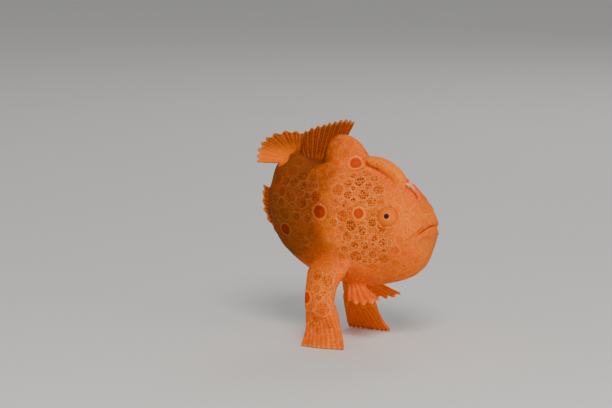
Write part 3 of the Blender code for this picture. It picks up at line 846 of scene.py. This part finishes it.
def rosette_centres(mesh, shift):
    """Places on the skin for rosettes, none over another or over a red spot."""
    dice = random.Random(ROSETTE_SEED)
    points = [vertex.co / MM - shift for vertex in mesh.vertices]
    surface = BVHTree.FromPolygons(points, [tuple(face.vertices) for face in mesh.polygons])
    sides = [(min(row), max(row)) for row in zip(*points)]
    reds = [(Vector(place), radius * RED_CLEARANCE) for place, radius in RED_SPOTS]
    chosen = []
    for turn in range(ROSETTE_TRIES):
        start = Vector([dice.uniform(*side) for side in sides])
        radius = dice.uniform(*ROSETTE_RADII)
        if turn > ROSETTE_TRIES * LATE_FROM:
            radius *= LATE_SIZE
        chance = dice.random()
        place = surface.find_nearest(start)[0]
        crowd = crowd_at(place)
        if chance > ROSETTE_CHANCE + crowd ** 2:
            continue
        if place.z < LEG_TOP:
            radius *= LEG_SIZE
        if any((place - spot).length < size + radius for spot, size in reds):
            continue
        if any((place - spot).length < size + radius + ROSETTE_SPACE for spot, size, _ in chosen):
            continue
        chosen.append((place, radius, crowd * dice.uniform(*TONE_RANGE)))
    return chosen


def measure_rosettes(mesh, shift):
    """Store on the skin how far each point is from the rim of its nearest rosette."""
    chosen = rosette_centres(mesh, shift)
    finder = KDTree(len(chosen))
    for i, (place, _, _) in enumerate(chosen):
        finder.insert(place, i)
    finder.balance()
    found = {"rosette_rim": [], "rosette_tone": [], "rosette_crowd": []}
    for vertex in mesh.vertices:
        place = vertex.co / MM - shift
        near = finder.find_n(place, NEAR_ROSETTES)
        rim, tone = min((away - chosen[i][1], chosen[i][2]) for _, i, away in near)
        for values, value in zip(found.values(), (rim, tone, crowd_at(place))):
            values.append(value)
    store(mesh, found)


def raise_fin_rays(mesh, fins, shift):
    """Store on the skin where the fin rays run, and lift them as fine ridges."""
    finder = KDTree(sum(len(form.points) for form in fins.values()))
    marks = []
    for name, form in fins.items():
        for point, (ray, reach) in zip(form.points, form.rays):
            finder.insert(point + shift, len(marks))
            marks.append((ray, reach, 1.0 if name == "dorsal" else 0.0))
    finder.balance()
    found = {"fin_ray": [], "fin_reach": [], "fin_dorsal": []}
    normals = [v.normal.copy() for v in mesh.vertices]
    for vertex, normal in zip(mesh.vertices, normals):
        _, i, away = finder.find(vertex.co / MM)
        ray, reach, dorsal = marks[i]
        share = smooth_step((FIN_SKIN_REACH - away) / FIN_SKIN_EDGE)
        share *= smooth_step(reach / FIN_ROOT_EDGE)
        for values, value in zip(found.values(), (ray, reach, dorsal)):
            values.append(value * share)
        vertex.co = vertex.co + normal * (ray - FIN_RAY_LEVEL) * share * FIN_RAY_LIFT * MM
    store(mesh, found)
    mesh.update()


def around_axis(paint, place, centre, axis):
    """Distance from a centre, and the angle turned about the axis through it."""
    side = axis.cross(Vector((0, 0, 1))).normalized()
    top = side.cross(axis).normalized()
    local = place.shifted(-centre)
    turned = local.towards(top).math("ARCTAN2", local.towards(side))
    return place.far_from(centre), turned


class SkinPaint(Paint):
    """The skin's material, painted from the ground colour up. Places are in millimetres."""

    CLOUD_SIZE = 7.5
    MOTTLE_SIZE = 1.3
    FLECK_SIZE = 0.42
    DOT_SIZE = 0.52
    DOT_SPREAD = 0.60
    SPECK_PALE = (0.95, 0.86, 0.72)

    def __init__(self, look, body, shift):
        super().__init__("frogfish_skin")
        self.look = look
        self.body = body
        self.shift = shift
        self.spot = self.place()
        self.x, self.z = (self.spot.towards(axis) for axis in ((1, 0, 0), (0, 0, 1)))
        self.cloud = self.noise(self.spot, self.CLOUD_SIZE, detail=4.0)
        self.mottle = self.noise(self.spot, self.MOTTLE_SIZE, detail=4.0)
        self.fleck = self.noise(self.spot, self.FLECK_SIZE, detail=2.0)
        # The second dorsal spine, which bears no pattern.
        ways = [
            self.spot.far_from(place + normal * radius + shift)
            for place, normal, _, radius in second_spine_spots(body)[1:6]
        ]
        self.spine = reduce(Value.least, ways).rise(2.6, 1.5)

    def ground(self):
        """Deep to bright orange, yellower on the face, with streaks that run out from the eyes."""
        look = self.look
        spots = [eye_spot(self.body, side) for side in (RIGHT, LEFT)]
        marks = [around_axis(self, self.spot, eye + self.shift, aim) for eye, aim in spots]
        eyes = reduce(Value.least, [away for away, _ in marks])
        streaks = []
        for away, turned in marks:
            rays = (turned * 23.0 + self.fleck * 9.0).math("SINE").rise(0.35, 0.95)
            streaks.append(rays * away.rise(2.75, 3.2) * away.rise(9.0, 4.0))
        face = eyes.rise(8.5, 3.2) * (self.mottle * 0.6 + 0.55).clamped()
        return self.coats(
            self.mix(self.cloud.rise(0.34, 0.66), look.skin_deep, look.skin_bright),
            (face, 0.70, look.skin_yellow),
            (self.fleck.rise(0.56, 0.74), 0.28, look.skin_deep),
            (self.fleck.rise(0.44, 0.26), 0.10, look.rim_pale),
            (self.z.rise(31.0, 39.0), 0.55, look.skin_deep),
            (self.spine, 0.85, look.lobe_orange),
            (reduce(Value.most, streaks) * self.mottle.rise(0.35, 0.60), 0.50, look.skin_deep),
        )

    def red_marks(self):
        """Distance to the nearest red spot's middle, in the spot's own radii."""
        return reduce(
            Value.least,
            [self.spot.far_from(Vector(spot) + self.shift) / radius for spot, radius in RED_SPOTS],
        )

    def pattern(self, colour):
        """Rosettes, loose dots and pale tracks between them, and red discs in thin pale rings.
        The skin's relief and roughness follow them."""
        look = self.look
        place = self.spot
        mottle = self.mottle
        fleck = self.fleck
        red = self.red_marks() + (mottle - 0.5) * 0.10
        ring = red.rise(1.10, 1.20) * red.rise(1.46, 1.34)
        heart = red.rise(0.80, 0.30) * fleck.rise(0.35, 0.65)
        clear = red.rise(1.50, 1.65) * (1.0 - self.spine)

        # A rosette is a thin pale rim round a cluster of small dark dots.
        tone = self.stored("rosette_tone")
        edge = self.stored("rosette_rim") + (fleck - 0.5) * 0.16
        inside = edge.rise(-0.06, -0.16) * clear
        rim = edge.size().rise(0.13, 0.03) * clear
        halo = (edge - 0.24).size().rise(0.10, 0.03) * clear
        outside = 1.0 - inside
        plain = outside * clear
        between = self.stored("rosette_crowd").rise(0.25, 0.8) * plain
        dots = self.cells(place, self.DOT_SIZE, spread=self.DOT_SPREAD)
        pick, _ = self.dice(dots)
        dot = dots.out("Distance").rise(0.52, 0.36) * (pick * 0.5 + 0.65).clamped()
        lattice = self.cells(place, self.DOT_SIZE, "DISTANCE_TO_EDGE", self.DOT_SPREAD)
        lace = lattice.out("Distance").rise(0.15, 0.03)

        loose = self.cells(place, size=0.75)
        pick, _ = self.dice(loose)
        loose_dot = loose.out("Distance").rise(0.34, 0.20) * pick.above(0.40)
        tracks = self.cells(place, size=0.95, feature="DISTANCE_TO_EDGE")
        track = tracks.out("Distance").rise(0.09, 0.02) * mottle.rise(0.42, 0.62)
        burst = outside * red.rise(1.44, 1.60) * red.rise(2.3, 1.7) * fleck.rise(0.46, 0.60)
        specks = self.cells(place, size=1.6)
        pick, size = self.dice(specks)
        speck = (size * 0.045 + 0.030 - specks.out("Distance")).rise(0.0, 0.02) * pick.above(0.58)

        grain = self.noise(place, size=0.16)
        pebbles = self.cells(place, size=0.34, feature="SMOOTH_F1").out("Distance")
        relief = self.bump(mottle, 0.00030, 0.55)
        relief = self.bump(pebbles, 0.00010, 0.75, relief)
        relief = self.bump(grain, 0.00004, 0.6, relief)
        self.relief = self.bump(rim - inside * dot * 0.6, 0.00005, 0.5, relief)
        self.roughness = mottle * 0.18 + 0.54 + dot * inside * 0.10
        return self.coats(
            colour,
            (loose_dot * outside, 0.80, look.rosette_deep),
            (track * outside, 0.42, look.rim_pale),
            (plain * dot * (mottle * 0.9 + 0.10).clamped(), 1.0, look.skin_deep),
            (plain * lace, 0.16, look.rim_pale),
            (between * dot, 0.36, look.dot_brown),
            (inside * (tone * 0.45 + 0.08), 1.0, look.rosette_deep),
            (inside * lace * tone, 0.30, look.rim_pale),
            (inside * dot * tone, 0.95, look.dot_brown),
            (rim * (tone * 0.36 + 0.20), 1.0, look.rim_pale),
            (halo * tone, 0.16, look.rim_pale),
            (ring, 0.50, look.rim_pale),
            (burst, 0.45, look.rosette_deep),
            (red.rise(1.04, 0.92), 0.96, look.spot_red),
            (heart, 0.40, look.skin_deep),
            (speck, 0.8, self.SPECK_PALE),
        )

    def rear_and_fins(self, colour):
        """A rear flank that is duller and darkened with painted shade, a brick-red soft dorsal fin
        that is partly darkened as painted shade, a tail fin that is clear orange low down and darkened
        above with painted shade, and fin rays that stand out from the webs."""
        look = self.look
        x = self.x - self.shift.x
        z = self.z
        # The rear flank is darkened, partly as a duller orange of its own and partly as painted shade.
        broken = (self.cloud - 0.5) * 16.0 + (self.mottle - 0.5) * 6.0
        rear = (x + broken).rise(5.5, -6.0) * (z + broken).rise(13.0, 22.0)
        rear = rear * (self.cloud * 0.4 + 0.70).clamped()
        colour = self.mix(rear, colour, look.dull_and_shade_tint, "MULTIPLY")
        ray, reach, dorsal = (self.stored("fin_" + name) for name in ("ray", "reach", "dorsal"))
        tail = reach.rise(0.02, 0.12) * x.rise(-9.0, -10.5) * z.rise(36.0, 38.0) * (1.0 - dorsal)
        return self.coats(
            colour,
            # The dorsal fin's brick red is partly its own colour and partly painted shade.
            (dorsal, 0.90, look.fin_red),
            (tail * z.rise(43.5, 40.5), 0.80, look.skin_bright),
            # Painted shade: the upper part of the tail fin is darkened with the same brick red.
            (tail * z.rise(42.5, 46.0), 0.50, look.fin_red),
            (reach.rise(0.05, 0.25) * ray.rise(0.55, 0.15), 0.45, look.skin_deep),
            (ray.rise(0.72, 1.0), 0.30, look.skin_yellow),
            (reach.rise(0.90, 1.0), 0.35, look.rim_pale),
        )

    def mouth_shade_line(self, colour):
        """A thin line of painted shade in the crease between the lips."""
        offset = self.spot.shifted(-(MOUTH_POINT + self.shift))
        depth = offset.towards(MOUTH_DOWN)
        line = offset.towards(MOUTH_FORWARD).size().rise(0.30, 0.06) * depth.rise(-3.0, -2.0)
        line = line * depth.rise(MOUTH_REACH - 1.6, MOUTH_REACH - 3.6)
        return self.mix(line * 0.75, colour, self.look.mouth_shade_colour)

    def done(self):
        colour = self.mouth_shade_line(self.rear_and_fins(self.pattern(self.ground())))
        return self.finish(
            Base_Color=colour,
            Roughness=self.roughness,
            Normal=self.relief,
            Specular_IOR_Level=0.05,
            Subsurface_Weight=0.15,
            Subsurface_Radius=(1.0, 0.28, 0.08),
            Subsurface_Scale=0.0007,
        )


def eye_material(look, centre, aim):
    """The bulging orange eye: a small dark pupil with a yellow edge and streaks that run outward."""
    paint = Paint("frogfish_eye")
    place = paint.place()
    ahead = place.shifted(-centre).towards(aim) / EYE_RADIUS
    angle = ahead.math("ARCCOSINE")
    _, turned = around_axis(paint, place, centre, aim)
    wobble = paint.noise(place, size=0.5)
    cloud = paint.noise(place, size=1.6)
    spokes = (turned * 17.0 + wobble * 6.0).math("SINE") * 0.5 + 0.5
    fine_spokes = (turned * 43.0 + wobble * 12.0).math("SINE") * 0.5 + 0.5
    rayed = angle.rise(0.24, 0.40)
    low = turned.math("SINE").rise(0.3, -0.7)
    ring = (angle - PUPIL_ANGLE - 0.03).size().rise(0.06, 0.02)
    pupil = (angle + (wobble - 0.5) * 0.05).rise(PUPIL_ANGLE + 0.012, PUPIL_ANGLE - 0.012)
    colour = paint.coats(
        look.eye_orange,
        (cloud.rise(0.35, 0.65), 0.6, look.skin_yellow),
        (spokes.rise(0.50, 1.0) * rayed, 0.45, look.skin_deep),
        (fine_spokes.rise(0.6, 1.0) * rayed, 0.30, look.skin_deep),
        (angle.rise(0.80, 1.20), 0.60, look.skin_bright),
        (ring * low, 0.70, look.pupil_edge),
        (pupil, 1.0, look.pupil_dark),
    )
    return paint.finish(
        Base_Color=colour,
        Roughness=0.40,
        Normal=paint.bump(spokes * rayed, 0.00004, 0.4),
        Coat_Weight=0.02,
        Coat_Roughness=0.08,
        Specular_IOR_Level=0.15,
        IOR=1.42,
    )


def lure_material(look, heart):
    """An orange rod with fine bands, and a paler ragged bait at its end."""
    paint = Paint("frogfish_lure")
    place = paint.place()
    cloud = paint.noise(place, size=0.7, detail=4.0)
    bands = (place.towards((0.8, 0.0, 0.6)) * 4.5 + cloud * 3.0).math("SINE").rise(0.2, 0.8)
    colour = paint.coats(
        look.skin_bright,
        (place.far_from(heart).rise(1.7, 0.9), 0.65, look.lure_cream),
        (bands, 0.35, look.skin_deep),
        (cloud.rise(0.55, 0.75), 0.15, look.rim_pale),
    )
    return paint.finish(Base_Color=colour, Roughness=0.50, Normal=paint.bump(cloud, 0.00015, 0.6))


def swell(distance, height, middle, width):
    return height * math.exp(-((distance - middle) / width) ** 2)


def shape_skin(mesh, tree, shift):
    """Folds and small swellings on the fused skin, pushed along its normals."""
    mouth = MOUTH_POINT + shift
    eyes = [eye_spot(tree, side)[0] + shift for side in (RIGHT, LEFT)]
    normals = [v.normal.copy() for v in mesh.vertices]
    for vertex, normal in zip(mesh.vertices, normals):
        place = vertex.co / MM
        body = smooth_step((place.z - LUMPS_FROM[0]) / LUMPS_FROM[1])
        body *= smooth_step((LUMPS_UP_TO[0] - place.z) / LUMPS_UP_TO[1])
        push = sum(noise.noise(place * rate + start) * height for rate, height, start in LUMPS) * body
        # The mouth line: a groove where the two lips meet, fading past the corners.
        offset = place - mouth
        left = MOUTH_REACH + MOUTH_FOLD_PAST - offset.dot(MOUTH_DOWN)
        fade = smooth_step(left / MOUTH_FOLD_FADE)
        if place.x > mouth.x - MOUTH_DEPTH and fade > 0.0:
            push += sum(swell(offset.dot(MOUTH_FORWARD), *fold) for fold in MOUTH_FOLDS) * fade
        # A soft pouch round each eye with a shallow hollow round that.
        for centre in eyes:
            push += sum(swell((place - centre).length, *fold) for fold in EYE_FOLDS)
        vertex.co = vertex.co + normal * push * MM
    mesh.update()


def relax(mesh, rounds, share):
    """Even out the surface by moving each point towards the middle of its neighbours."""
    with editing(mesh) as bm:
        for _ in range(rounds):
            bmesh.ops.smooth_vert(
                bm, verts=bm.verts, factor=share, use_axis_x=True, use_axis_y=True, use_axis_z=True
            )


def keep_above_floor(mesh):
    for vertex in mesh.vertices:
        if vertex.co.z < 0.0:
            vertex.co.z = 0.0


def cut_sockets(obj, tree, shift):
    cutters = []
    for side in (RIGHT, LEFT):
        centre, _ = eye_spot(tree, side)
        mesh = ball_mesh("socket", centre + shift, EYE_RADIUS + SOCKET_PLAY, SOCKET_GRID)
        cutters.append(object_from(mesh, "socket"))
        modifier = obj.modifiers.new("socket", "BOOLEAN")
        modifier.operation = "DIFFERENCE"
        modifier.solver = "MANIFOLD"
        modifier.object = cutters[-1]
    apply_modifiers(obj)
    for cutter in cutters:
        bpy.data.objects.remove(cutter, do_unlink=True)


def dress(mesh, material):
    mesh.materials.clear()
    mesh.materials.append(material)
    mesh.shade_smooth()


FLESH_NODES = (
    *("head", "lower_jaw", "trunk", "tail", "dorsal_fin", "anal_fin", "caudal_fin"),
    *("dorsal_spine_3", "dorsal_spine_2", "pectoral_arm_right", "pectoral_arm_left"),
    *("pectoral_fin_right", "pectoral_fin_left", "pelvic_fin_right", "pelvic_fin_left"),
)


def colour_property(name, description, default):
    return FloatVectorProperty(
        name=name, description=description, default=default, subtype="COLOR", size=3, min=0, max=1
    )


class FrogfishLook(PropertyGroup):
    skin_voxel: FloatProperty(
        name="Skin step",
        description="Size of the steps in which the skin is fused",
        default=SKIN_VOXEL * MM,
        unit="LENGTH",
        precision=5,
    )
    skin_bright: colour_property("Bright skin", "Main orange of the skin", (0.98, 0.172, 0.0))
    skin_deep: colour_property("Deep skin", "Deeper orange between the patterns", (0.80, 0.110, 0.0))
    skin_yellow: colour_property("Yellow skin", "Yellow-orange of the face", (0.98, 0.205, 0.0))
    rim_pale: colour_property("Pale rim", "Rims of the rosettes and spots", (1.0, 0.36, 0.09))
    dot_brown: colour_property("Dark dots", "Dots inside the rosettes", (0.19, 0.020, 0.003))
    rosette_deep: colour_property("Rosette", "Ground inside a rosette", (0.62, 0.075, 0.0))
    spot_red: colour_property("Red spots", "Discs of the eye-like spots", (0.62, 0.040, 0.0005))
    # Tint that dulls the rear flank and lays painted shade on it.
    dull_and_shade_tint: colour_property("Brown shade", "Tint that dulls the rear flank", (0.21, 0.29, 0.55))
    lobe_orange: colour_property("Spine orange", "Clear orange of the second spine", (1.0, 0.215, 0.0))
    # Brick red of the soft dorsal fin, partly painted shade, and painted shade on the tail fin's top.
    fin_red: colour_property("Fin red", "Brick red of the soft dorsal fin", (0.17, 0.026, 0.002))
    # Painted shade in the crease between the lips.
    mouth_shade_colour: colour_property("Mouth line", "Dark line between the lips", (0.10, 0.010, 0.003))
    eye_orange: colour_property("Eye orange", "Iris and skin of the eye", (0.86, 0.150, 0.0))
    pupil_edge: colour_property("Pupil edge", "Yellow edge of the pupil", (1.0, 0.36, 0.01))
    pupil_dark: colour_property("Pupil", "Purple-black pupil", (0.030, 0.008, 0.030))
    lure_cream: colour_property("Lure cream", "Pale lure at the end of its rod", (0.86, 0.62, 0.40))
    floor_pale: colour_property("Floor", "Plain pale floor", (0.82, 0.815, 0.80))


class FROGFISH_OT_skin(Operator):
    """Fuse body, limbs and fins into one skin and paint its markings"""

    bl_idname = "frogfish.skin"
    bl_label = "Skin"

    def execute(self, context):
        look = context.scene.frogfish_look
        tree = coarse_tree()
        shift = cad_shift(tree)
        fins = {"dorsal": membrane_form("dorsal", fan("dorsal", DORSAL_RIPPLE, DORSAL_WAVES))}
        fins |= {kind: membrane_form(kind, fan(kind)) for kind in ("anal", "caudal")}
        lip_offset = LIP_RADIUS + CUT_GAP
        forms = [
            body_form(*FINE_GRID),
            lip_form(tree, -lip_offset, LIP_RADIUS),
            lip_form(tree, lip_offset, LIP_RADIUS * LOWER_LIP_SWELL),
            chin_form(),
            third_spine_form(),
            spine_form(second_spine_spots(tree), *SECOND_SPINE_GRID),
        ]
        for side, word in SIDES:
            fins["pectoral_" + word] = pectoral_fin_form(side)
            fins["pelvic_" + word] = pelvic_fin_form(side)
            forms.append(arm_form(side))
            centre, aim = eye_spot(tree, side)
            rim = centre + aim * (EYE_RADIUS - EYE_PROUD) * EYE_RIM_BACK
            spread = EYE_RADIUS * EYE_RIM_SPREAD
            forms.append(torus_form(rim, aim, spread, EYE_RIM_RADIUS, *EYE_RIM_GRID))
            for core in NOSTRIL_CORES:
                spot = hit(tree, core, sided(NOSTRIL_AIM, side))
                forms.append(torus_form(*spot, NOSTRIL_RADIUS, NOSTRIL_WALL, *PORE_GRID))
            spot = hit(tree, GILL_PORE_CORE, sided(GILL_PORE_AIM, side))
            forms.append(torus_form(*spot, GILL_PORE_RADIUS, GILL_PORE_WALL, *PORE_GRID))
        skin = join_forms("skin", [*forms, *fins.values()], shift)
        fuse(skin, look.skin_voxel / MM)
        relax(skin.data, rounds=2, share=0.5)
        shape_skin(skin.data, tree, shift)
        relax(skin.data, rounds=1, share=0.4)
        cut_sockets(skin, tree, shift)
        raise_fin_rays(skin.data, fins, shift)
        keep_above_floor(skin.data)
        measure_rosettes(skin.data, shift)
        dress(skin.data, SkinPaint(look, tree, shift).done())
        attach(skin, "root")
        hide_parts(*FLESH_NODES)
        return {"FINISHED"}


class FROGFISH_OT_eyes(Operator):
    """Set both bulging eyes in their sockets"""

    bl_idname = "frogfish.eyes"
    bl_label = "Eyes"

    def execute(self, context):
        look = context.scene.frogfish_look
        tree = coarse_tree()
        shift = cad_shift(tree)
        for side, word in SIDES:
            centre, aim = eye_spot(tree, side)
            centre += shift
            name = "eyeball_" + word
            eyeball = object_from(ball_mesh(name, centre, EYE_RADIUS, EYE_GRID, aim), name)
            dress(eyeball.data, eye_material(look, centre, aim))
            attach(eyeball, "root")
            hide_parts("eye_" + word)
        return {"FINISHED"}


class FROGFISH_OT_lure(Operator):
    """Lay the lure's rod and ragged bait back on the snout"""

    bl_idname = "frogfish.lure"
    bl_label = "Lure"

    def execute(self, context):
        look = context.scene.frogfish_look
        tree = coarse_tree()
        shift = cad_shift(tree)
        spots = over_head(tree, LURE_ROD, LURE_CORE, LURE_AIM)
        forms = [spine_form(spots, *LURE_ROD_GRID)]
        place, normal, lift, _ = spots[-1]
        heart = place + normal * lift + BAIT_FROM_TIP
        for k in range(BAIT_STRANDS):
            angle = STRAND_TURN * k
            fling = Vector((math.sin(STRAND_SWAY * k), math.cos(angle), math.sin(angle)))
            out = STRAND_DRIFT + fling * STRAND_SPREAD
            strand = [heart + out * reach for reach in STRAND_REACHES]
            forms.append(tube_form(strand, STRAND_RADII, STRAND_SECTION))
        lure = join_forms("lure", forms, shift)
        fuse(lure, LURE_VOXEL)
        relax(lure.data, rounds=3, share=0.5)
        dress(lure.data, lure_material(look, heart + shift))
        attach(lure, "root")
        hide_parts("illicium")
        return {"FINISHED"}


def area_light(name, place, size, power, colour):
    lamp = bpy.data.lights.new(name, "AREA")
    lamp.shape = "DISK"
    lamp.size = size
    lamp.energy = power
    lamp.color = colour
    obj = object_from(lamp, name)
    obj.location = place
    obj.rotation_euler = (LIT_POINT - Vector(place)).to_track_quat("-Z", "Y").to_euler()


class FROGFISH_OT_stage(Operator):
    """Set the pale floor, the soft lights and the camera"""

    bl_idname = "frogfish.stage"
    bl_label = "Stage"

    def execute(self, context):
        look = context.scene.frogfish_look
        shift = cad_shift(coarse_tree())
        mesh = bpy.data.meshes.new("floor")
        corners = ((-1, -1, 0), (1, -1, 0), (1, 1, 0), (-1, 1, 0))
        mesh.from_pydata([Vector(c) * FLOOR_HALF for c in corners], [], [(0, 1, 2, 3)])
        floor = object_from(mesh, "floor")
        paint = Paint("floor_pale")
        grain = paint.noise(paint.place(), size=40.0, detail=2.0)
        tone = paint.mix(grain, look.floor_pale, tuple(c * FLOOR_DIM for c in look.floor_pale))
        mesh.materials.append(paint.finish(Base_Color=tone, Roughness=0.85))

        azimuth = math.radians(VIEW_AZIMUTH)
        elevation = math.radians(VIEW_ELEVATION)
        level = math.cos(elevation)
        back = Vector((math.sin(azimuth) * level, -math.cos(azimuth) * level, math.sin(elevation)))
        right = Vector((math.cos(azimuth), math.sin(azimuth), 0.0))
        up = back.cross(right)
        across = (PHOTO_SIZE[0] / 2.0 - PHOTO_ORIGIN[0]) * MM_PER_PIXEL * MM
        rise = (PHOTO_ORIGIN[1] - PHOTO_SIZE[1] / 2.0) * MM_PER_PIXEL * MM
        target = shift * MM + right * across + up * rise
        camera = bpy.data.cameras.new("camera")
        camera.sensor_width = SENSOR_WIDTH
        camera.lens = SENSOR_WIDTH * LENS_DISTANCE / (PHOTO_SIZE[0] * MM_PER_PIXEL * MM)
        camera.clip_start, camera.clip_end = LENS_RANGE
        obj = object_from(camera, "camera")
        turn = Matrix((right, up, back)).transposed().to_4x4()
        obj.matrix_world = Matrix.Translation(target + back * LENS_DISTANCE) @ turn
        context.scene.camera = obj

        for name, settings in LAMPS.items():
            area_light(name, *settings)
        world = bpy.data.worlds.new("studio")
        world.use_nodes = True
        background = world.node_tree.nodes["Background"]
        background.inputs["Color"].default_value = STUDIO_TINT
        background.inputs["Strength"].default_value = STUDIO_STRENGTH
        context.scene.world = world
        return {"FINISHED"}


class FROGFISH_PT_panel(Panel):
    bl_label = "Frogfish"
    bl_space_type = "VIEW_3D"
    bl_region_type = "UI"
    bl_category = "Frogfish"

    def draw(self, context):
        for operator in OPERATORS:
            self.layout.operator(operator.bl_idname)
        for name in FrogfishLook.__annotations__:
            self.layout.prop(context.scene.frogfish_look, name)


OPERATORS = (FROGFISH_OT_skin, FROGFISH_OT_eyes, FROGFISH_OT_lure, FROGFISH_OT_stage)
CLASSES = (FrogfishLook, *OPERATORS, FROGFISH_PT_panel)


def register():
    for entry in CLASSES:
        bpy.utils.register_class(entry)
    bpy.types.Scene.frogfish_look = PointerProperty(type=FrogfishLook)


def unregister():
    del bpy.types.Scene.frogfish_look
    for entry in reversed(CLASSES):
        bpy.utils.unregister_class(entry)


def main():
    register()
    bpy.ops.frogfish.skin()
    bpy.ops.frogfish.eyes()
    bpy.ops.frogfish.lure()
    bpy.ops.frogfish.stage()


if __name__ == "__main__":
    main()
